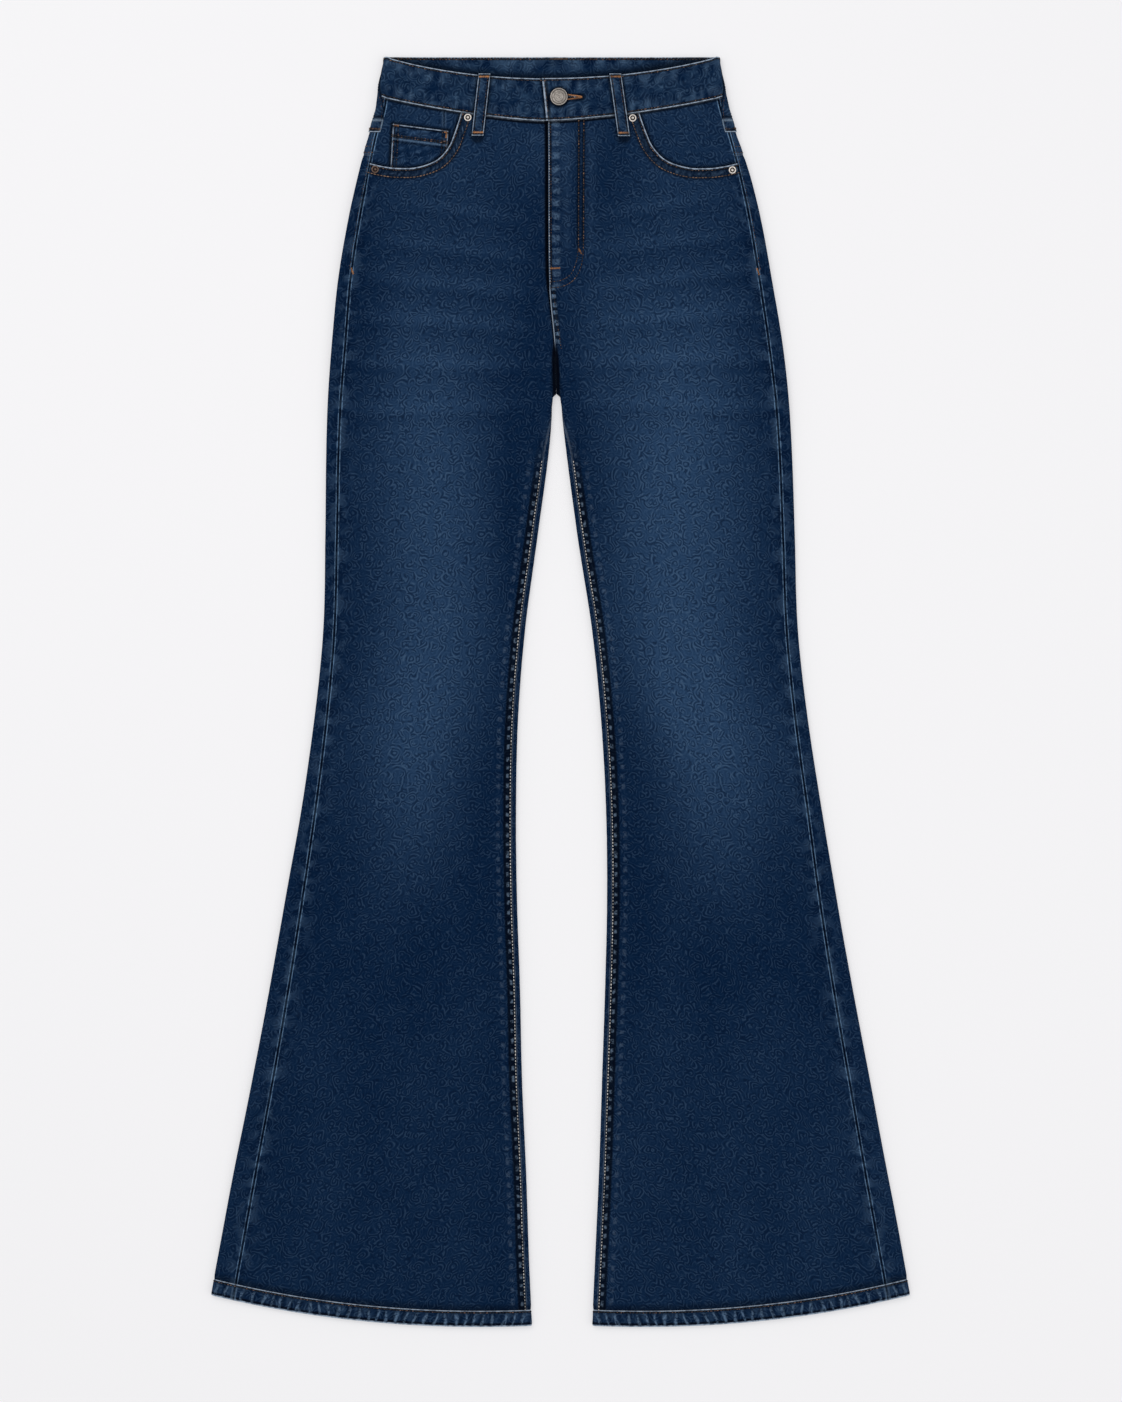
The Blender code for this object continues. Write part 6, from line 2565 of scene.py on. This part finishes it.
@dataclass(frozen=True)
class Studio:
    """The floor, light and camera: a plain pale surface seen from straight above."""

    camera_x: float = 0.00036
    camera_y: float = -0.00835
    distance: float = 3.505
    lens: float = 100.0
    floor: Colour = (0.50, 0.495, 0.50, 1)
    glow: float = 0.44

    def build(self) -> None:
        """Adds the floor, the lights, the world and the camera."""
        scene = bpy.context.scene
        scene.view_settings.view_transform = "Standard"
        self.add_floor()
        self.add_light("key_light", (-0.9, 0.9, 2.6), 1.9, 27.0)
        self.add_light("fill_light", (1.3, -0.4, 2.2), 2.4, 12.5)
        world = bpy.data.worlds.new("studio")
        world.use_nodes = True
        world.node_tree.nodes["Background"].inputs["Color"].default_value = (0.93, 0.94, 0.96, 1)
        world.node_tree.nodes["Background"].inputs["Strength"].default_value = 0.60
        scene.world = world
        data = bpy.data.cameras.new("camera")
        data.lens, data.sensor_width = self.lens, 36.0
        data.clip_end = 20.0
        camera = bpy.data.objects.new("camera", data)
        camera.location = (self.camera_x, self.camera_y, self.distance + 0.005)
        scene.collection.objects.link(camera)
        scene.camera = camera

    def add_floor(self) -> None:
        """A wide pale floor just under the cloth."""
        mesh = bpy.data.meshes.new("floor")
        half, low = 6.0, -0.0006
        corners = [(-half, -half, low), (half, -half, low), (half, half, low), (-half, half, low)]
        mesh.from_pydata(corners, [], [(0, 1, 2, 3)])
        material = bpy.data.materials.new("floor")
        material.use_nodes = True
        shader = material.node_tree.nodes["Principled BSDF"]
        shader.inputs["Base Color"].default_value = self.floor
        shader.inputs["Roughness"].default_value = 0.9
        shader.inputs["Specular IOR Level"].default_value = 0.1
        shader.inputs["Emission Color"].default_value = (1.0, 0.99, 1.0, 1)
        shader.inputs["Emission Strength"].default_value = self.glow
        mesh.materials.append(material)
        floor = bpy.data.objects.new("floor", mesh)
        bpy.context.scene.collection.objects.link(floor)
        floor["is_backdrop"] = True

    def add_light(self, name: str, place: tuple[float, float, float], size: float, power: float) -> None:
        """A soft square lamp that looks at the middle of the garment.

        Args:
            name: the object's name.
            place: where it stands.
            size: its width.
            power: in watts.
        """
        data = bpy.data.lights.new(name, "AREA")
        data.size, data.energy = size, power
        lamp = bpy.data.objects.new(name, data)
        lamp.location = place
        lamp.rotation_euler = Vector(place).to_track_quat("Z", "Y").to_euler()
        bpy.context.scene.collection.objects.link(lamp)


# --------------------------------------------------------------------------------------------- putting it up


class Jeans:
    """Builds every piece in the order that it is sewn, hiding the model's node that each stands for."""

    def __init__(self) -> None:
        """Prepares the finishes and the repeater."""
        self.look = Finishes()
        self.repeater = Repeater()
        self.cloths: dict[str, Cloth] = {}
        self.shown: dict[str, bpy.types.Object] = {}
        self.thread: dict[str, list[bpy.types.Object]] = {}

    def add(self, name: str, cloth: Cloth, finish: str, node: str, slot: Slot = Slot.DENIM) -> None:
        """A cloth piece that stands for one node.

        Args:
            name: the object's name.
            cloth: the cloth.
            finish: the finish's key.
            node: the model's node.
            slot: the record's material slot; not used.
        """
        piece = shell(name, cloth, self.look.cloth[finish])
        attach(piece, "root")
        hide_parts(node)
        self.cloths[name], self.shown[name] = cloth, piece
        self.thread[name] = []
        LOG.info("%s: %d faces", name, len(piece.data.polygons))

    def sew(
        self, name: str, on: str, lines: Sequence[Array], yarn: str, bead: Bead, seed: int,
        slot: Slot = Slot.DENIM,
    ) -> None:
        """Thread on a cloth piece.

        Args:
            name: the object's name.
            on: the cloth piece that it is on.
            lines: the points of each line.
            yarn: the thread's key.
            bead: what is repeated.
            seed: picks the unevenness.
            slot: the record's material slot; not used.
        """
        laid = self.repeater.lay(name, lines, bead, self.look.thread[yarn], seed)
        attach(laid, "root")
        self.thread[on].append(laid)

    def cloth_pieces(self) -> None:
        """All that is cut from cloth."""
        small, worn = SmallPieces(), Slot.WORN
        for side in Side:
            panels, label = Panels(side), side.label
            front = "front_under" if side is Side.RIGHT else "front_over"
            self.add(f"front_panel_{label}", panels.front(), front, f"front_{label}")
            self.add(f"back_panel_{label}", panels.back(), "back", f"back_{label}")
            self.add(f"back_yoke_{label}", panels.yoke(), "yoke", f"yoke_{label}")
            self.add(f"leg_hem_{label}", Hem(side).cloth(), "hem", f"hem_{label}")
            self.add(f"hip_facing_{label}", small.facing(side), "facing", f"pocket_facing_{label}")
            self.add(f"seat_pocket_{label}", small.back_pocket(side), "patch", f"back_pocket_{label}")
            loop = small.side_loop(side)
            self.add(f"belt_loop_side_{label}", loop, "side_loop", f"loop_side_{label}", worn)
        self.add("coin_patch", small.coin_pocket(), "coin", "coin_pocket", worn)
        band = Waistband()
        self.add("waist_strip", band.cloth(), "band", "waistband", worn)
        band.cut_hole(self.shown["waist_strip"])
        loops = {
            "front_right": (Side.RIGHT, *LOOP_PLACES[0], True),
            "front_left": (Side.LEFT, *LOOP_PLACES[1], True),
            "back": (Side.LEFT, (-0.0078, -0.0005), (-0.0070, 0.0560), False),
        }
        for label, place in loops.items():
            self.add(f"belt_loop_{label}", small.loop(*place), "loop", f"loop_{label}", worn)
        width = PATTERN.fly_width
        shield = small.strip(0.0003, width + 0.002, 0.0, PATTERN.cloth)
        self.add("fly_shield_strip", shield, "shield", "fly_shield")
        tape = small.strip(0.0010, width - 0.004, PATTERN.zip + PATTERN.gap, PATTERN.zip)
        self.add("zip_tape_strip", tape, "tape", "zip", Slot.TAPE)

    def metal(self) -> None:
        """The button and rivets; the rivet by the wearer's right side seam is dark copper."""
        metal, look = Metal(), self.look.metal
        pieces = {"button": metal.button(look["worn_pewter"])}
        for number in range(4):
            finish = look["dark_copper" if number == 1 else "pewter"]
            pieces[f"rivet_{number + 1}"] = metal.rivet(number, finish)
        for node, piece in pieces.items():
            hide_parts(node)
            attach(piece, "root")

    def declare(self) -> None:
        """Logs the flat size and area of every sheet."""
        for name, cloth in self.cloths.items():
            width, length = (max(side, 2 * SmallPieces.loop_half) for side in cloth.flat_size())
            area = cloth.flat_area()
            LOG.info("%s: flat %.0f x %.0f mm, %.4f m2", name, width / MM, length / MM, area)


def offset_line(line: Array, inset: float, side: float) -> list[Place]:
    """A line seen from above, moved sideways, as the (x, down) of each point.

    Args:
        line: points of the line.
        inset: how far it moves.
        side: 1 to its left, -1 to its right.

    Returns:
        (x, down) of each point.
    """
    way = np.gradient(line[:, :2], axis=0)
    way /= np.linalg.norm(way, axis=1, keepdims=True)
    moved = line[:, :2] + side * inset * np.stack([-way[:, 1], way[:, 0]], -1)
    return [(x, PATTERN.origin - y) for x, y in moved]


@dataclass(frozen=True)
class Sewing:
    """All the visible thread, laid on the finished cloth."""

    jeans: Jeans
    topstitch: Bead = Bead()
    fine: Bead = Bead(0.0027, 0.0021, 0.00052, 0.00042)
    dotted: Bead = Bead(0.0029, 0.0020, 0.00090, 0.00070, uneven=0.15)
    wide: Bead = Bead(0.0029, 0.0026, 0.00090, 0.00055, uneven=0.15)
    tack: Bead = Bead(0.00055, 0.0021, 0.00050, 0.00055, 90.0, 0.15)
    keyhole: Bead = Bead(0.00062, 0.0017, 0.00052, 0.00060, 90.0, 0.10)
    worn_edge: Bead = Bead(0.0024, 0.0019, 0.00080, 0.00060, uneven=0.25)
    teeth: Bead = Bead(0.0014, 0.0032, 0.0010, 0.0006, 90.0, 0.02)
    near_row: float = 0.0018
    far_row: float = 0.0075
    band_row: float = 0.0021
    tuck: float = 0.0003
    eye: float = 0.0047

    def row(self, on: str, edge: str, *insets: float, **ends: float) -> list[Array]:
        """Lines inside an edge of a cloth piece, at each inset."""
        return [edge_line(self.jeans.cloths[on], f"{edge}_edge", inset, **ends) for inset in insets]

    def rows(self, on: str, edges: Sequence[str], *insets: float, **ends: float) -> list[Array]:
        """Lines inside several edges of a cloth piece, at each inset."""
        return [line for edge in edges for line in self.row(on, edge, *insets, **ends)]

    def row_share(self, on: str, down: float) -> float:
        """Share of the way down a piece's rows at a place down the garment."""
        rows = self.jeans.cloths[on].down[:, 0]
        return float(np.interp(down, rows, np.linspace(0, 1, len(rows))))

    def ground(self, *pieces: str) -> Ground:
        """The finished surface of the named pieces."""
        return Ground(*(self.jeans.shown[name] for name in pieces))

    def waist(self) -> None:
        """Rows along the waistband's edges, the buttonhole and the lap's end."""
        on, sew, worn = "waist_strip", self.jeans.sew, Slot.WORN
        rows = self.rows(on, ("top", "foot", "last"), self.band_row)
        sew("waist_rows", on, rows, "rust", self.wide, 3, worn)
        cloth = self.jeans.cloths[on]
        inner = replace(cloth, points=cloth.points - cloth.out * cloth.thickness, out=-cloth.out)
        rows = [edge_line(inner, "top_edge", inset, 0.29, 0.76) for inset in (0.0009, 0.0022)]
        sew("waist_inner_rows", on, rows, "brown", self.wide, 4, worn)
        ground = self.ground(on)
        tack = ground.settle([(x, 0.0013) for x in np.linspace(-0.0095, 0.0058, 12)], self.tuck)
        sew("waist_inner_tack", on, [tack], "tan", self.tack, 4, worn)
        (x, down), eye = Waistband.hole, self.eye
        slit = [(x + 0.0040 + 0.0160 * t, down - 0.0026 + 0.0021 * t) for t in np.linspace(0, 1, 24)]
        turns = np.linspace(0, math.pi, 5)[1:-1]
        end = [(x + 0.0200 + 0.0006 * math.sin(t), down - 0.0005 * math.cos(t)) for t in turns]
        back = [(place, 2 * down - py) for place, py in slit[::-1]]
        around = [(x - eye * math.cos(t), down + eye * math.sin(t)) for t in np.linspace(-2.4, 2.4, 30)]
        rows = [ground.settle(line, 0.0002) for line in (slit + end + back, around)]
        sew("keyhole_thread", on, rows, "orange", self.keyhole, 5, worn)

    def panels(self) -> None:
        """Pocket mouths, outseams, inseams, the yoke seams, the seat seam and the hems."""
        jeans, sew = self.jeans, self.jeans.sew
        pair = (self.near_row, self.far_row)
        for side in Side:
            label = side.label
            front, back, yoke = (f"{piece}_{label}" for piece in ("front_panel", "back_panel", "back_yoke"))
            ground = self.ground(front)
            mouth = jeans.cloths[front].points[0, :MOUTH_COLUMNS]
            rows = ("mouth_rows", 0.0020, "rust", 7), ("mouth_outer_row", 0.0085, "tan", 8)
            for name, inset, yarn, seed in rows:
                line = ground.settle(offset_line(mouth, inset, side.value)[1:-1])
                sew(f"{name}_{label}", front, [line], yarn, self.wide, seed)
            start = self.row_share(front, 0.366)
            inseam = self.row(front, "last", 0.0008, start=start, lift=self.tuck)
            sew(f"inseam_row_{label}", front, inseam, "cream", self.dotted, 9)
            hip = self.row(back, "first", 0.0020, end=self.row_share(back, 0.190))
            hip += self.row(yoke, "first", 0.0020)
            sew(f"side_row_{label}", back, hip, "brown", self.topstitch, 11)
            sew(f"yoke_rows_{label}", yoke, self.row(yoke, "foot", *pair), "tan", self.topstitch, 13)
            if side is Side.LEFT:
                seat = self.row(back, "last", *pair, end=self.row_share(back, PATTERN.crotch - 0.004))
                seat += self.row(yoke, "last", *pair)
                sew("seat_rows", back, seat, "tan", self.topstitch, 15)
            hem = self.row(f"leg_hem_{label}", "top", self.near_row, lift=self.tuck)
            sew(f"hem_row_{label}", f"leg_hem_{label}", hem, "rust", self.wide, 17)
            self.tacks(f"side_tack_{label}", front, self.ground(front, back), [SIDE_TACKS[side]])

    def tacks(
        self, name: str, on: str, ground: Ground, places: Sequence[tuple[Place, Place]],
        slot: Slot = Slot.DENIM,
    ) -> None:
        """Bartacks, each from one place to another in millimetres across and down.

        Args:
            name: the object's name.
            on: the cloth piece that it is on.
            ground: the finished cloth under them.
            places: the start and end of each.
            slot: the record's material slot.
        """
        steps = np.linspace(0, 1, 12)[:, None]
        lines = []
        for start, end in np.array(places):
            lines.append(ground.settle((start + (end - start) * steps) * MM, 0.00022))
        self.jeans.sew(name, on, lines, "orange", self.tack, 19, slot)

    def fly(self) -> None:
        """The curved rows and bartacks of the fly, the seam below it, and the zip's teeth."""
        sew, on = self.jeans.sew, "front_panel_left"
        ground = self.ground(on)
        rows = [[ground.settle(smooth_line(line)) for line in lines] for lines in (FLY_ROWS, RISE_ROWS)]
        sew("fly_rows", on, rows[0], "brown_gold", self.wide, 21)
        sew("rise_row", on, rows[1], "brown", self.fine, 23)
        rim = self.row(on, "last", 0.0008, start=self.row_share(on, 0.060), end=self.row_share(on, 0.203))
        sew("fly_edge_row", on, rim, "faded", self.worn_edge, 22)
        self.tacks("fly_tacks", on, ground, FLY_TACKS)
        teeth = self.row("zip_tape_strip", "first", 0.0135, start=0.02, end=0.97, lift=self.tuck)
        sew("zip_teeth_row", "zip_tape_strip", teeth, "zip_teeth", self.teeth, 25, Slot.TAPE)

    def coin(self) -> None:
        """Rows and corner bartacks of the coin pocket."""
        sew, on, worn = self.jeans.sew, "coin_patch", Slot.WORN
        sides = self.rows(on, ("first", "last"), 0.0016, 0.0052)
        sew("coin_side_rows", on, sides, "rust", self.fine, 27, worn)
        sew("coin_top_rows", on, self.row(on, "top", 0.0098, 0.0113), "rust", self.wide, 29, worn)
        self.tacks("coin_tacks", on, self.ground(on), COIN_TACKS, worn)

    def seat_pockets(self) -> None:
        """Double rows round the back pockets."""
        for side in Side:
            name = f"seat_pocket_{side.label}"
            rows = self.rows(name, ("first", "last", "foot"), 0.0016, 0.0070)
            rows += self.row(name, "top", 0.0120, 0.0175)
            self.jeans.sew(f"seat_pocket_rows_{side.label}", name, rows, "tan", self.topstitch, 31)

    def loops(self) -> None:
        """Two rows down each loop and a bartack at each end."""
        for name in [key for key in self.jeans.cloths if key.startswith("belt_loop")]:
            rows = self.rows(name, ("first", "last"), 0.0021, start=0.03, end=0.97)
            self.jeans.sew(f"{name}_rows", name, rows, "brown", self.fine, 33, Slot.WORN)
            ends = self.rows(name, ("top", "foot"), 0.0030, start=0.08, end=0.92)
            tack = "brown" if "side" in name else "orange"
            self.jeans.sew(f"{name}_tacks", name, ends, tack, self.tack, 35, Slot.WORN)

    def all(self) -> None:
        """Every row of thread."""
        for part in (self.waist, self.panels, self.fly, self.coin, self.seat_pockets, self.loops):
            part()
        LOG.info("thread: %d pieces", sum(len(rows) for rows in self.jeans.thread.values()))


def write_size(key: str, sizes: dict[str, list]) -> None:
    """Args:
        key: what is measured.
        sizes: the bounds, by what is measured.
    """
    low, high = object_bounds()
    sizes[key] = [[float(v) for v in low], [float(v) for v in high]]


def main() -> None:
    """Builds the set and every piece of the jeans."""
    sizes: dict[str, list] = {}
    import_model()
    write_size("cad", sizes)
    Studio().build()
    jeans = Jeans()
    jeans.cloth_pieces()
    jeans.metal()
    Sewing(jeans).all()
    jeans.declare()
    write_size("visual", sizes)
    faces = sum(len(o.data.polygons) for o in bpy.data.objects if o.type == "MESH" and not o.hide_render)
    LOG.info("faces shown: %d", faces)


if __name__ == "__main__":
    main()
